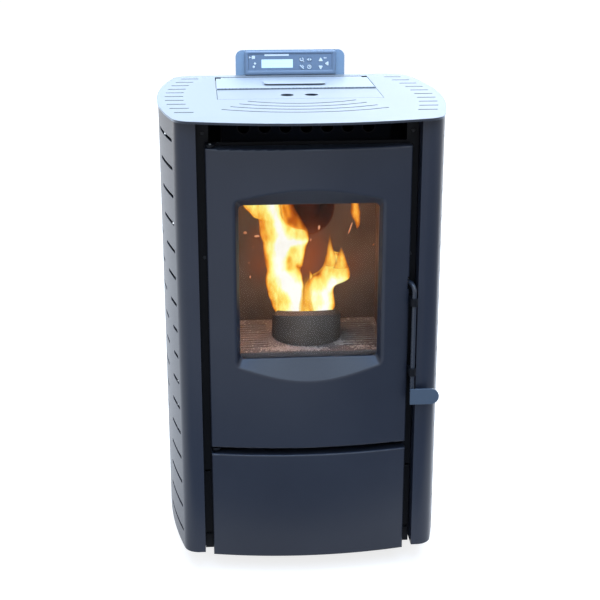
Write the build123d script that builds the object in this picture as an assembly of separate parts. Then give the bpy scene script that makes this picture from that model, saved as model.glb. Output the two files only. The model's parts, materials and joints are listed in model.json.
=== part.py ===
from build123d import *
import math
import os

# Pellet stove: a bowed steel cabinet round a cast firebox, with a glazed door, an ash drawer,
# a pellet hopper and auger behind the fire, two blowers and a controller above the rear edge.
# Millimetres. X to the right, Y to the rear, Z up. The origin is on the floor, under the middle.

# ---- Cabinet plan and heights
plate_half_width = 260.0
plate_back_y = 235.0
plate_front_y = -298.0
plate_bow_radius = 680.0
plate_corner_radius = 40.0
side_bow_radius = 880.0
side_bow_y = -5.0
plate_overhang = 2.0
plate_top_z = 848.0
plate_thickness = 4.0
sheet = 2.0
base_z = 45.0
panel_bottom_z = 45.0
panel_front_y = -250.0
panel_corner_radius = 28.0
panel_back_flange_x = 176.0
panel_back_lap = 20.0
jamb_x = 190.5
frame_front_y = -214.0
frame_thickness = 3.0
frame_bottom_z = 35.0
pan_rim_height = 35.0
seat_gap = 0.3
lap_gap = 0.2

plate_bottom_z = plate_top_z - plate_thickness
frame_back_y = frame_front_y + frame_thickness
panel_back_y = plate_back_y - sheet
panel_half_width = plate_half_width - plate_overhang
frame_half_width = jamb_x - seat_gap

# ---- Levelling feet
foot_x = 185.0
foot_front_y = -125.0
foot_back_y = 175.0
foot_radius = 20.0
foot_pad_height = 10.0
foot_stem_radius = 5.0
foot_nut_height = 8.0
foot_taper = 0.7
foot_nut_radius = 9.0
foot_stem_above_pan = 22.0

# ---- Slots in the side panels: rows of four slots round a diamond left plain in the middle
side_slot_rows = 16
side_slot_pitch = 48.67
side_slot_top_z = 808.0
side_slot_height = 6.0
side_slot_centre_y = -15.0
side_slot_reach = 208.0
outer_slot_end = 179.5
outer_slot_lean = 12.6
inner_slot_start = 135.0
inner_slot_lean = 16.0
diamond_half_length = 104.5
diamond_lean = 37.0

# ---- Slots in the top plate
top_slot_count = 10
top_slot_pitch = 41.6
top_slot_back_y = 192.5
top_slot_length = 34.5
top_slot_width = 5.0
top_slot_arc_radius = 760.0
top_slot_margin = 13.7
top_slot_arc_y = -11.0
front_groove_count = 4
front_groove_half = 95.6
front_groove_half_step = 16.0
front_groove_end_y = -76.0
front_groove_end_step = 27.2
front_groove_mid_y = -105.0
front_groove_mid_step = 29.6
front_groove_width = 4.0

top_slot_arc_x = plate_half_width - top_slot_margin

# ---- Hopper lid
lid_half_width = 150.0
lid_front_y = 71.5
lid_back_y = 204.0
lid_gap = 1.0
lid_front_gap = 3.5
lid_side_gap = 2.0
lid_thickness = plate_thickness - seat_gap
lid_axis_inset = 2.5
lid_axis_drop = 7.0
lid_swing_gap = 1.0
lid_notch_width = 10.0
lid_notch_length = 12.0
lid_lug_radius = 4.5
lid_lug_thickness = 3.0
lid_pin_radius = 2.0
lid_pin_end = 1.0
lid_ear_gap = 2.0
lid_ear_length = 16.0
lid_lug_inset = 0.5
pin_clearance = 0.1
grip_half_width = 59.0
grip_front_y = 98.0
grip_flat = 34.0
grip_ramp = 5.0
grip_foot = 10.0
grip_rise = 1.2
grip_corner_radius = 9.0

lid_axis_y = lid_back_y - lid_axis_inset
lid_axis_z = plate_top_z - lid_axis_drop
lid_opening_back_y = lid_axis_y + math.hypot(lid_axis_inset, lid_axis_drop) + lid_swing_gap
lid_notch_x = lid_half_width - lid_notch_width
lid_ear_x = lid_notch_x + lid_ear_gap

# ---- Service cover in front of the lid, on a piano hinge
cover_front_y = -53.5
cover_hinge_y = 55.0
finger_hole_x = 22.5
finger_hole_y = -13.0
finger_hole_radius = 12.5
knuckle_count = 15
knuckle_radius = 2.6
knuckle_pin_radius = 1.0
knuckle_gap = 0.3
cover_back_clearance = 2.9
leaf_gap = 0.6

# ---- Door and drawer front share one bow
door_half_width = 175.5
door_bottom_z = 252.4
door_top_z = 797.7
bow_front_y = -260.7
bow_radius = 864.0
door_back_y = -222.0
door_skin = 4.0
bend_radius = 3.0
rim_width = 20.0
drawer_bottom_z = 35.0
drawer_top_z = 239.7

# ---- Window: a lens-shaped recess that narrows to a plain opening
window_half_width = 121.0
window_bottom_z = 419.0
window_top_z = 698.0
window_y = -238.0
window_corner_radius = 8.0
recess_half_width = 133.7
recess_bottom_corner_z = 398.4
recess_bottom_apex_z = 377.8
recess_top_corner_z = 717.0
recess_top_apex_z = 729.7
recess_corner_radius = 8.0
recess_lip_radius = 7.0
recess_overrun = 1.3
recess_wall = 4.0
window_flange = 18.0
glass_lap = 10.0
glass_thickness = 4.0
glass_gasket_thickness = 1.5
clip_width = 24.0
clip_thickness = 1.5
clip_hold = 6.0
clip_gap = 0.5

recess_front_y = bow_front_y - recess_overrun
flange_back_y = window_y + recess_wall
glass_front_y = flange_back_y + glass_gasket_thickness
glass_back_y = glass_front_y + glass_thickness

# ---- Door gasket and hinge
gasket_half_width = 158.0
gasket_inset_z = 16.0
gasket_width = 10.0
hinge_x = -167.0
hinge_pin_radius = 3.0
hinge_pin_length = 24.0
hinge_plate_thickness = 4.0
hinge_plate_gap = 1.8
hinge_ear_radius = 8.5
eye_width = 13.0
eye_gap = 0.4
eye_front_wall = 4.0
eye_height = 30.0

door_skin_depth = math.sqrt((bow_radius - door_skin)**2 - (door_half_width - door_skin)**2)
eye_front_y = bow_front_y + bow_radius - door_skin_depth + eye_gap
hinge_y = eye_front_y + eye_front_wall

# ---- Door handle: an upright rod whose bent top end is the latch
handle_x = 183.0
handle_y = -256.0
handle_radius = 4.0
handle_bottom_z = 335.0
handle_top_z = 554.0
handle_bend_radius = 14.0
handle_tail_x = 173.5
handle_tail_y = -229.0
tab_right_x = 231.0
tab_bottom_z = 333.0
tab_top_z = 362.0
tab_thickness = 4.0
bush_radius = 6.5
bush_height = 14.0
bush_heights = (386.0, 516.0)
bush_root_front = 2.0
bush_root_back = 6.0
bush_elbow = 4.0
bush_tip_reach = 5.0
hook_thickness = 8.0
hook_tip_x = 167.3
hook_back_y = -217.2
hook_shank = 4.0
hook_right_gap = 2.5
latch_notch_height = 24.0
latch_notch_x = 162.0
latch_edge_notch = 3.0
keeper_thickness = 3.0
keeper_gap = 0.5

# ---- Ash pan and runners
pan_half_width = 148.0
pan_rear_y = 60.0
pan_bottom_z = 62.0
pan_top_z = 222.0
pan_wall = 2.0
pan_way_gap = 9.0
runner_rear_y = 64.0
runner_guide_height = 20.0
runner_ledge = 14.0
runner_front_gap = 2.0

# ---- Firebox
firebox_half_width = 146.0
firebox_back_y = -36.0
firebox_bottom_z = 411.0
firebox_top_z = 838.0
firebox_wall = 4.0
mouth_half_width = 142.0
mouth_bottom_z = 415.0
mouth_top_z = 724.0
baffle_thickness = 4.0
baffle_front_gap = 12.0
baffle_back_gap = 24.0
smoke_box_front_y = -178.0
ash_hole_half_width = 128.0
ash_hole_front_y = -202.0
ash_hole_back_y = -50.0
grate_thickness = 8.0
grate_fit = 0.4
grate_slot_inner_x = 68.0
grate_slot_outer_x = 132.0
grate_slot_count = 11
grate_slot_pitch = 12.0
grate_slot_width = 6.0
sill_half_width = 134.0
sill_thickness = 5.0
sill_drop = 10.0
ash_chute_lap = 6.0
ash_chute_front_lap = 4.0
ash_chute_foot_gap = 14.0

# ---- Burn pot
pot_x = 4.0
pot_y = -130.0
pot_radius = 63.0
pot_stem_radius = 52.0
pot_wall = 5.0
pot_rim_wall = 10.0
pot_rim_z = 489.6
pot_rim_slope = 15.5
pot_bottom_z = 398.0
pot_hole_clearance = 1.5
pot_chamfer = 8.5
pot_hole_ring_radius = 26.0
pot_air_hole_radius = 3.5
pot_air_hole_count = 8
pot_igniter_hole_radius = 6.5

# ---- Warm air: tubes across the smoke box and an open mouth above the door
tube_count = 7
tube_pitch = 36.0
tube_radius = 12.0
tube_bore = 10.5
tube_z = 820.0
air_mouth_half_width = 169.0
air_mouth_bottom_z = 802.0

# ---- Pellet feed: hopper, auger tube and drop chute
feed_x = 14.0
hopper_half_width = 132.0
hopper_front_y = 84.0
hopper_back_y = 190.0
hopper_wall = 2.0
hopper_flange_x = 162.0
hopper_flange_front_y = 75.6
hopper_flange_back_y = 194.5
throat_half_width = 30.0
throat_front_y = 129.0
throat_back_y = 186.0
throat_z = 430.0
feed_box_bottom_z = 350.0
auger_foot_y = 138.0
auger_foot_z = 335.0
auger_head_y = 3.0
auger_head_z = 655.0
auger_tube_radius = 28.0
auger_tube_bore = 25.0
auger_shaft_radius = 6.0
auger_flight_radius = 23.0
auger_flight_width = 9.0
auger_pitch = 46.0
auger_motor_radius = 27.0
auger_motor_length = 85.0
auger_socket_depth = 36.0
auger_motor_flange = 6.0
auger_shaft_end_gap = 1.0
chute_z = 647.0
chute_radius = 50.0
chute_wall = 2.0
chute_tilt = 25.0
chute_length = 108.0

# ---- Exhaust path
duct_left_x = 68.0
duct_right_x = 110.0
duct_depth = 34.0
duct_bottom_z = 272.0
duct_arm_top_z = 348.0
duct_arm_back_y = 116.0
smoke_hole_height = 54.0
exhaust_fan_y = 75.0
exhaust_fan_z = 310.0
exhaust_fan_radius = 48.0
exhaust_fan_blades = 8
exhaust_housing_width = 40.0
exhaust_scroll_start = 56.0
exhaust_scroll_end = 82.0
exhaust_outlet_width = 52.0
exhaust_outlet_y = 160.0
exhaust_inlet_radius = 28.0
exhaust_motor_radius = 38.0
exhaust_motor_length = 52.0
exhaust_blade_root = 9.0
exhaust_blade_tip_gap = 1.0
flue_radius = 40.0
flue_wall = 2.0
flue_end_y = 298.0
flue_neck_y = 200.0
collar_thickness = 2.0
collar_width = 7.0

# ---- Combustion air
intake_x = -60.0
intake_z = 375.0
intake_radius = 25.0
intake_wall = 2.0
intake_end_y = 268.0
intake_reach = 6.0
intake_cut_reach = 20.0
igniter_radius = 5.0
igniter_z = 438.0
igniter_tip_gap = 2.0
igniter_rear_y = 6.0
igniter_collar_width = 4.0
igniter_collar_depth = 3.0

# ---- Room air blower
room_fan_x = -100.0
room_fan_z = 146.0
room_fan_radius = 56.0
room_fan_blades = 20
room_housing_front_y = 112.0
room_housing_width = 66.0
room_scroll_start = 62.0
room_scroll_end = 88.0
room_outlet_width = 56.0
room_outlet_length = 96.0
room_inlet_radius = 46.0
room_motor_radius = 36.0
room_motor_length = 42.0
fan_shaft_radius = 4.0
fan_side_gap = 4.0
fan_hub_radius = 10.0
fan_shaft_hole_gap = 2.0
fan_shaft_reach = 12.0
fan_shaft_end_gap = 4.0
motor_edge_radius = 6.0
cage_ring_width = 10.0
cage_blade_inset = 5.5
cage_blade_width = 9.0
cage_blade_thickness = 1.2
cage_blade_angle = 25.0
blower_foot_half_width = 30.0
blower_foot_inset = 10.0
housing_wall = 2.0

# ---- Controls
bracket_half_width = 109.5
bracket_top_z = 898.0
bracket_bottom_z = 790.0
bracket_corner_radius = 14.0
bezel_half_width = 91.0
bezel_bottom_z = 849.0
bezel_top_z = 896.0
bezel_front_y = 229.0
bezel_corner_radius = 3.0
housing_half_width = 86.0
housing_bottom_z = 853.0
housing_top_z = 892.0
housing_back_y = 258.0
lcd_left_x = -58.0
lcd_right_x = 5.0
lcd_bottom_z = 863.0
lcd_top_z = 880.0
lcd_thickness = 2.0
lcd_recess = 0.4
key_radius = 4.5
key_clearance = 0.3
key_proud = 1.0
key_travel = 0.7
key_length = 5.0
round_key_places = ((23.0, 879.0), (38.0, 879.0), (23.0, 864.4), (38.0, 864.4))
arrow_key_places = {
    "key_up": (61.0, 878.0, 90.0),
    "key_down": (61.0, 863.5, 270.0),
    "key_left": (74.0, 870.6, 180.0),
}
arrow_key_radius = 5.6
arrow_corner_radius = 1.2
lamp_places = ((-76.0, 882.0), (-71.0, 872.0), (-73.5, 866.0))
lamp_radius = 1.6
control_box_x = (-168.0, -106.0)
control_box_z = (300.0, 420.0)
control_box_depth = 60.0
control_box_corner_radius = 4.0
inlet_x = -140.0
inlet_z = 240.0
inlet_width = 28.0
inlet_height = 48.0
inlet_depth = 22.0
inlet_proud = 3.0
inlet_well_half_width = 8.0
inlet_well_half_height = 12.0
inlet_well_depth = 16.0
inlet_blade_places = ((0.0, 0.0), (-3.0, 7.0), (-3.0, -7.0))
inlet_blade_half_width = 1.0
inlet_blade_half_height = 2.0
rear_grille_rows = 7
rear_grille_pitch = 14.0
rear_grille_slot_length = 96.0

# ---- Screws
screw_head_radius = 3.2
screw_head_height = 2.0
frame_screw_x = 180.0
frame_screw_heights = (818.5, 600.0)
frame_slot_x = 183.0
frame_slot_length = 11.0
frame_slots = ((193.0, 4.0), (67.0, 8.0))
rear_screw_x = 186.0
rear_screw_heights = (80.0, 300.0, 520.0, 740.0)


# ======== Helpers ========

def block(x0, x1, y0, y1, z0, z1):
    """A box between two corners."""
    return Pos((x0 + x1) / 2, (y0 + y1) / 2, (z0 + z1) / 2) * Box(x1 - x0, y1 - y0, z1 - z0)


def mirrored(x0, x1, y0, y1, z0, z1):
    """The same box on both sides of the middle plane."""
    return [block(x0, x1, y0, y1, z0, z1), block(-x1, -x0, y0, y1, z0, z1)]


def upright(x, y, z0, z1, radius):
    """A cylinder along Z."""
    return Pos(x, y, (z0 + z1) / 2) * Cylinder(radius, z1 - z0)


def along_y(x, z, y0, y1, radius):
    """A cylinder along Y."""
    return Pos(x, (y0 + y1) / 2, z) * Rot(90, 0, 0) * Cylinder(radius, y1 - y0)


def along_x(y, z, x0, x1, radius):
    """A cylinder along X."""
    return Pos((x0 + x1) / 2, y, z) * Rot(0, 90, 0) * Cylinder(radius, x1 - x0)


def frustum_shell(bottom, bottom_z, top, top_z, wall):
    """A tapered rectangular duct, open at both ends; each end is (x0, x1, y0, y1)."""
    def end(corners, z, inset):
        x0, x1, y0, y1 = corners
        rectangle = Rectangle(x1 - x0 - 2 * inset, y1 - y0 - 2 * inset)
        return Pos((x0 + x1) / 2, (y0 + y1) / 2, z) * rectangle
    outside = loft([end(bottom, bottom_z, 0), end(top, top_z, 0)], ruled=True)
    inside = loft([end(bottom, bottom_z, wall), end(top, top_z, wall)], ruled=True)
    return outside - inside


def circles_meet(first_centre, first_radius, second_centre, second_radius):
    """The crossing point of two circles with the lowest y."""
    dx = second_centre[0] - first_centre[0]
    dy = second_centre[1] - first_centre[1]
    distance = math.hypot(dx, dy)
    along = (first_radius**2 - second_radius**2 + distance**2) / (2 * distance)
    across = math.sqrt(first_radius**2 - along**2)
    crossings = []
    for sign in (1, -1):
        x = first_centre[0] + (along * dx - sign * across * dy) / distance
        y = first_centre[1] + (along * dy + sign * across * dx) / distance
        crossings.append((x, y))
    return min(crossings, key=lambda point: point[1])


def side_arc_x(half_width, y):
    """Where the bowed side of that half width lies at a given y."""
    return half_width - side_bow_radius + math.sqrt(side_bow_radius**2 - (y - side_bow_y)**2)


def cabinet_plan(half_width, back_y, front_y, corner_radius, front_bow_radius=None):
    """The cabinet's outline seen from above: bowed sides and a straight or bowed front."""
    back_x = side_arc_x(half_width, back_y)
    if front_bow_radius:
        corner = circles_meet(
            (half_width - side_bow_radius, side_bow_y), side_bow_radius,
            (0, front_y + front_bow_radius), front_bow_radius)
        front = ThreePointArc((-corner[0], corner[1]), (0, front_y), corner)
    else:
        corner = (side_arc_x(half_width, front_y), front_y)
        front = Line((-corner[0], front_y), corner)
    right = ThreePointArc(corner, (half_width, side_bow_y), (back_x, back_y))
    back = Line((back_x, back_y), (-back_x, back_y))
    left = ThreePointArc((-back_x, back_y), (-half_width, side_bow_y), (-corner[0], corner[1]))
    plan = make_face([front.edge(), right.edge(), back.edge(), left.edge()])
    return fillet(plan.vertices(), corner_radius)


def bow_y(x, inset=0.0):
    """Front of the bowed door or drawer skin at x, moved back by an inset."""
    radius = bow_radius - inset
    return bow_front_y + bow_radius - math.sqrt(radius**2 - x**2)


def bowed_block(half_width, inset, back_y, bottom_z, top_z):
    """A block with a flat back and the front bow of the door and the drawer."""
    edge_y = bow_y(half_width, inset)
    front = ThreePointArc((-half_width, edge_y), (0, bow_y(0, inset)), (half_width, edge_y))
    rest = Polyline((half_width, edge_y), (half_width, back_y), (-half_width, back_y), (-half_width, edge_y))
    return Pos(0, 0, bottom_z) * extrude(make_face([front.edge(), *rest.edges()]), top_z - bottom_z)


def front_edges(tray):
    """The four edges round the bowed front of a tray."""
    front = tray.faces().filter_by(GeomType.CYLINDER).sort_by(Axis.Y)[0]
    return front.edges()


def bowed_tray(bottom_z, top_z):
    """A bowed skin with returned edges and a flat rim round its open back."""
    inner = door_half_width - door_skin
    cavity_back_y = door_back_y - door_skin
    tray = bowed_block(door_half_width, 0, door_back_y, bottom_z, top_z)
    tray = fillet(front_edges(tray), bend_radius)
    tray -= bowed_block(inner, door_skin, cavity_back_y, bottom_z + door_skin, top_z - door_skin)
    hole = inner - rim_width
    margin = door_skin + rim_width
    return tray - block(-hole, hole, cavity_back_y, door_back_y, bottom_z + margin, top_z - margin)


def scroll(start_radius, end_radius, outlet_width, outlet_length, grow):
    """A blower's scroll outline round its axis, with its outlet along +Y; grow adds the wall."""
    def point(turn):
        radius = start_radius + (end_radius - start_radius) * turn + grow
        angle = turn * 2 * math.pi
        return (radius * math.cos(angle), radius * math.sin(angle))
    arcs = [ThreePointArc(point(q / 4), point(q / 4 + 0.125), point(q / 4 + 0.25)).edge() for q in range(4)]
    closing = Line(point(1), point(0)).edge()
    right = end_radius + grow
    left = end_radius - outlet_width - grow
    outlet = Pos((left + right) / 2, outlet_length / 2) * Rectangle(right - left, outlet_length)
    return make_face([*arcs, closing]) + outlet


def blower_housing(plane, sizes, width):
    """A scroll housing of sheet with an open outlet; the plane's Z runs along its axis."""
    start_radius, end_radius, outlet_width, outlet_length, inlet_radius, shaft_hole = sizes
    shell = extrude(scroll(start_radius, end_radius, outlet_width, outlet_length, housing_wall), width)
    inside = scroll(start_radius, end_radius, outlet_width, outlet_length, 0)
    shell -= Pos(0, 0, housing_wall) * extrude(inside, width - 2 * housing_wall)
    shell -= Pos(0, 0, housing_wall / 2) * Cylinder(inlet_radius, housing_wall)
    shell -= Pos(0, 0, width - housing_wall / 2) * Cylinder(shaft_hole, housing_wall)
    return plane * shell


def on_auger(solid):
    """Places a solid built along Z from the origin onto the auger's slanted axis."""
    axis = Vector(0, auger_head_y - auger_foot_y, auger_head_z - auger_foot_z)
    plane = Plane(origin=(feed_x, auger_foot_y, auger_foot_z), x_dir=(1, 0, 0), z_dir=axis)
    return plane * solid


def auger_length():
    return math.hypot(auger_head_y - auger_foot_y, auger_head_z - auger_foot_z)


# ======== Cabinet ========

def pan_plan(grow):
    """The base pan's outline, just inside the side panels, notched behind the drawer front."""
    inset = sheet + lap_gap
    plan = cabinet_plan(panel_half_width - inset, panel_back_y - inset, panel_front_y + inset,
                        panel_corner_radius - inset)
    if grow:
        plan = offset(plan, -grow)
    notch = jamb_x + sheet + lap_gap + grow
    depth = frame_back_y - panel_front_y + lap_gap + grow
    return plan - Pos(0, panel_front_y + depth / 2) * Rectangle(2 * notch, depth)


def base_pan():
    pan = Pos(0, 0, base_z) * extrude(pan_plan(0), pan_rim_height)
    pan -= Pos(0, 0, base_z + sheet) * extrude(pan_plan(sheet), pan_rim_height)
    holes = []
    for x, y in foot_places():
        holes.append(upright(x, y, base_z, base_z + sheet, foot_stem_radius + seat_gap))
    way = drawer_way_half_width()
    front_lip = block(-way, way, frame_back_y, frame_back_y + 2 * sheet,
                      base_z + sheet, base_z + pan_rim_height)
    return pan - holes - front_lip


def drawer_way_half_width():
    """Half the width of the way that the ash pan slides through."""
    return pan_half_width + pan_way_gap


def foot_places():
    return [(x, y) for x in (-foot_x, foot_x) for y in (foot_front_y, foot_back_y)]


def levelling_feet():
    """Four feet, each a tapered pad, a stem and the nut that the pan rests on."""
    feet = Part()
    for x, y in foot_places():
        pad = Pos(x, y, foot_pad_height / 2) * Cone(foot_radius, foot_radius * foot_taper, foot_pad_height)
        stem = upright(x, y, foot_pad_height, base_z + foot_stem_above_pan, foot_stem_radius)
        nut_face = Pos(x, y, base_z - foot_nut_height) * RegularPolygon(foot_nut_radius, 6)
        feet += pad + stem + extrude(nut_face, foot_nut_height)
    return feet


def side_slot_spans(row):
    """Start and end of each slot in a row, as distances along Y from the pattern's middle."""
    lean = abs(row - (side_slot_rows - 1) / 2)
    outer = outer_slot_end - outer_slot_lean * lean
    start = inner_slot_start - inner_slot_lean * lean
    diamond = diamond_half_length - diamond_lean * lean
    spans = [(-side_slot_reach, -outer), (outer, side_slot_reach)]
    if diamond > 0:
        return spans + [(-start, -diamond), (diamond, start)]
    return spans + [(-start, start)]


def side_panel(side):
    """One bowed side with its corner, front flange, jamb and rear flange, all of one sheet."""
    outside = cabinet_plan(panel_half_width, panel_back_y, panel_front_y, panel_corner_radius)
    skin = outside - offset(outside, -sheet)
    front_gap = Pos(0, panel_front_y) * Rectangle(2 * jamb_x, 4 * sheet)
    rear_gap = Pos(0, panel_back_y) * Rectangle(2 * panel_back_flange_x, 4 * sheet)
    other_side = Pos(-side * plate_half_width, 0) * Rectangle(2 * plate_half_width, 4 * plate_half_width)
    jamb_length = frame_back_y - panel_front_y
    jamb = Pos(side * (jamb_x + sheet / 2), panel_front_y + jamb_length / 2) * Rectangle(sheet, jamb_length)
    section = skin - front_gap - rear_gap - other_side + jamb
    height = plate_bottom_z - panel_bottom_z
    panel = Pos(0, 0, panel_bottom_z) * extrude(section, height)
    cut_x = side * (jamb_x + 2 * sheet + panel_half_width + sheet) / 2
    cut_width = panel_half_width - jamb_x - sheet
    slots = []
    for row in range(side_slot_rows):
        z = side_slot_top_z - row * side_slot_pitch
        for start, end in side_slot_spans(row):
            slot = SlotOverall(end - start, side_slot_height)
            middle_y = side_slot_centre_y + (start + end) / 2
            place = Plane(origin=(cut_x, middle_y, z), x_dir=(0, 1, 0), z_dir=(1, 0, 0))
            slots.append(place * extrude(slot, cut_width / 2, both=True))
    return panel - slots


def top_plate():
    plan = cabinet_plan(plate_half_width, plate_back_y, plate_front_y, plate_corner_radius, plate_bow_radius)
    plan -= opening(lid_front_y - lid_front_gap, lid_opening_back_y, lid_side_gap)
    plan -= opening(cover_front_y - lid_gap, cover_hinge_y + cover_back_clearance, lid_gap)
    slots = []
    for index in range(top_slot_count):
        y = top_slot_back_y - index * top_slot_pitch
        arc_rise = top_slot_arc_radius - math.sqrt(top_slot_arc_radius**2 - (y - top_slot_arc_y)**2)
        x = top_slot_arc_x - arc_rise - top_slot_length / 2
        for side in (-1, 1):
            slots.append(Pos(side * x, y) * SlotOverall(top_slot_length, top_slot_width))
    for index in range(front_groove_count):
        half = front_groove_half + index * front_groove_half_step
        end_y = front_groove_end_y - index * front_groove_end_step
        middle_y = front_groove_mid_y - index * front_groove_mid_step
        arc = ThreePointArc((-half, end_y), (0, middle_y), (half, end_y))
        slots.append(SlotArc(arc, front_groove_width))
    return Pos(0, 0, plate_bottom_z) * extrude(plan - slots, plate_thickness)


def opening(front_y, back_y, side_gap):
    """A rectangular opening in the top plate, as wide as the lid and its gaps."""
    width = 2 * (lid_half_width + side_gap)
    return Pos(0, (front_y + back_y) / 2) * Rectangle(width, back_y - front_y)


def back_panel():
    half = panel_back_flange_x + panel_back_lap
    panel = block(-half, half, panel_back_y, plate_back_y, panel_bottom_z, plate_bottom_z)
    cuts = [
        along_y(flue_centre_x(), flue_centre_z(), panel_back_y, plate_back_y, flue_radius + seat_gap),
        along_y(intake_x, intake_z, panel_back_y, plate_back_y, intake_radius + seat_gap),
        block(inlet_x - inlet_width / 2, inlet_x + inlet_width / 2, panel_back_y, plate_back_y,
              inlet_z - inlet_height / 2, inlet_z + inlet_height / 2),
    ]
    middle = (rear_grille_rows - 1) / 2
    for row in range(rear_grille_rows):
        z = room_fan_z + (row - middle) * rear_grille_pitch
        slot = Plane(origin=(room_fan_x, panel_back_y, z), x_dir=(1, 0, 0), z_dir=(0, 1, 0))
        cuts.append(slot * extrude(SlotOverall(rear_grille_slot_length, side_slot_height), sheet))
    return panel - cuts


def front_frame():
    """The black plate behind the door, with the fire's mouth, the drawer's way and the warm air's mouth."""
    frame = block(-frame_half_width, frame_half_width, frame_front_y, frame_back_y,
                  frame_bottom_z, plate_bottom_z)
    frame -= block(-mouth_half_width, mouth_half_width, frame_front_y, frame_back_y,
                   mouth_bottom_z, mouth_top_z)
    way = drawer_way_half_width()
    frame -= block(-way, way, frame_front_y, frame_back_y, frame_bottom_z, pan_top_z + pan_way_gap)
    frame -= block(-air_mouth_half_width, air_mouth_half_width, frame_front_y, frame_back_y,
                   air_mouth_bottom_z, plate_bottom_z)
    slots = []
    for z, height in frame_slots:
        slots += mirrored(frame_slot_x - frame_slot_length / 2, frame_slot_x + frame_slot_length / 2,
                          frame_front_y, frame_back_y, z - height / 2, z + height / 2)
    return frame - slots


def lid_hinge_ears():
    """Two ears under the rear of the top plate, each with a bore for a lid pin."""
    ears = []
    for side in (-1, 1):
        x0 = min(side * lid_ear_x, side * (lid_ear_x + lid_lug_thickness))
        x1 = x0 + lid_lug_thickness
        nose = along_x(lid_axis_y, lid_axis_z, x0, x1, lid_lug_radius)
        arm = block(x0, x1, lid_axis_y, lid_opening_back_y + lid_ear_length, lid_axis_z - lid_lug_radius,
                    plate_bottom_z)
        ears.append(nose + arm - along_x(lid_axis_y, lid_axis_z, x0, x1, lid_pin_radius + pin_clearance))
    return Part() + ears


def hopper_lid():
    lid_bottom_z = plate_top_z - lid_thickness
    lid = block(-lid_half_width, lid_half_width, lid_front_y, lid_back_y, lid_bottom_z, plate_top_z)
    lid -= mirrored(lid_notch_x, lid_half_width, lid_back_y - lid_notch_length, lid_back_y,
                    lid_bottom_z, plate_top_z)
    for side in (-1, 1):
        outer_x = lid_notch_x - lid_lug_inset
        x0 = min(side * outer_x, side * (outer_x - lid_lug_thickness))
        x1 = x0 + lid_lug_thickness
        lug = along_x(lid_axis_y, lid_axis_z, x0, x1, lid_lug_radius)
        lug += block(x0, x1, lid_axis_y - lid_lug_radius, lid_back_y, lid_axis_z, lid_bottom_z)
        pin_end = side * (lid_ear_x + lid_lug_thickness + lid_pin_end)
        pin = along_x(lid_axis_y, lid_axis_z, min(side * outer_x, pin_end), max(side * outer_x, pin_end),
                      lid_pin_radius)
        lid += lug + pin
    return lid


def lid_grip():
    """The lid's finger plate: a joggled strip whose front edge stands clear of the lid."""
    flat_y = grip_front_y + grip_flat
    foot_y = flat_y + grip_ramp
    back_y = foot_y + grip_foot
    flat_z = plate_top_z + grip_rise
    lower = [(grip_front_y, flat_z), (flat_y, flat_z), (foot_y, plate_top_z), (back_y, plate_top_z)]
    upper = [(y, z + sheet) for y, z in reversed(lower)]
    profile = make_face(Polyline(*lower, *upper, close=True).edges())
    strip = extrude(Plane.YZ * profile, grip_half_width, both=True)
    front_corners = strip.edges().filter_by(Axis.Z).sort_by(Axis.Y)[:2]
    return fillet(front_corners, grip_corner_radius)


def knuckle_spans(first):
    """Every second knuckle along the cover's hinge, as (start, end) in x."""
    length = 2 * lid_half_width / knuckle_count
    spans = []
    for index in range(first, knuckle_count, 2):
        start = -lid_half_width + index * length
        spans.append((start + knuckle_gap / 2, start + length - knuckle_gap / 2))
    return spans


def knuckles(spans, radius):
    return [along_x(cover_hinge_y, plate_top_z, start, end, radius) for start, end in spans]


def service_cover():
    """A plain cover with two finger holes, rolled into hinge knuckles along its rear edge."""
    bottom_z = plate_top_z - lid_thickness
    cover = block(-lid_half_width, lid_half_width, cover_front_y, cover_hinge_y, bottom_z, plate_top_z)
    for x in (-finger_hole_x, finger_hole_x):
        cover -= upright(x, finger_hole_y, bottom_z, plate_top_z, finger_hole_radius)
    gaps = [(start - knuckle_gap, end + knuckle_gap) for start, end in knuckle_spans(0)]
    cover -= knuckles(gaps, cover_back_clearance)
    cover += knuckles(knuckle_spans(1), knuckle_radius)
    bore_radius = knuckle_pin_radius + pin_clearance
    return cover - along_x(cover_hinge_y, plate_top_z, -lid_half_width, lid_half_width, bore_radius)


def cover_hinge_leaf():
    """The hinge's fixed leaf under the plate, with its own knuckles and the pin."""
    web_y = cover_hinge_y + leaf_gap
    web_back_y = web_y + sheet
    leaf_z = plate_bottom_z - sheet
    leaf = block(-lid_half_width, lid_half_width, web_y, web_back_y, leaf_z, plate_top_z)
    leaf_back_y = hopper_flange_front_y - leaf_gap
    leaf += block(-lid_half_width, lid_half_width, web_y, leaf_back_y, leaf_z, plate_bottom_z)
    gaps = [(start - knuckle_gap, end + knuckle_gap) for start, end in knuckle_spans(1)]
    leaf -= knuckles(gaps, cover_back_clearance)
    leaf += knuckles(knuckle_spans(0), knuckle_radius)
    return leaf + along_x(cover_hinge_y, plate_top_z, -lid_half_width, lid_half_width, knuckle_pin_radius)


# ======== Door ========

def recess_ring(y, half_width, bottom_corner, bottom_apex, top_corner, top_apex):
    """A four-edged outline in an upright plane, with its lower and upper edges bowed or straight."""
    corners = [(-half_width, y, bottom_corner), (half_width, y, bottom_corner),
               (half_width, y, top_corner), (-half_width, y, top_corner)]

    def edge(start, end, apex_z):
        if apex_z == start[2]:
            return Line(start, end).edge()
        return ThreePointArc(start, (0, y, apex_z), end).edge()

    lower = edge(corners[0], corners[1], bottom_apex)
    upper = edge(corners[2], corners[3], top_apex)
    right = Line(corners[1], corners[2]).edge()
    left = Line(corners[3], corners[0]).edge()
    return Wire([lower, right, upper, left])


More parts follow.
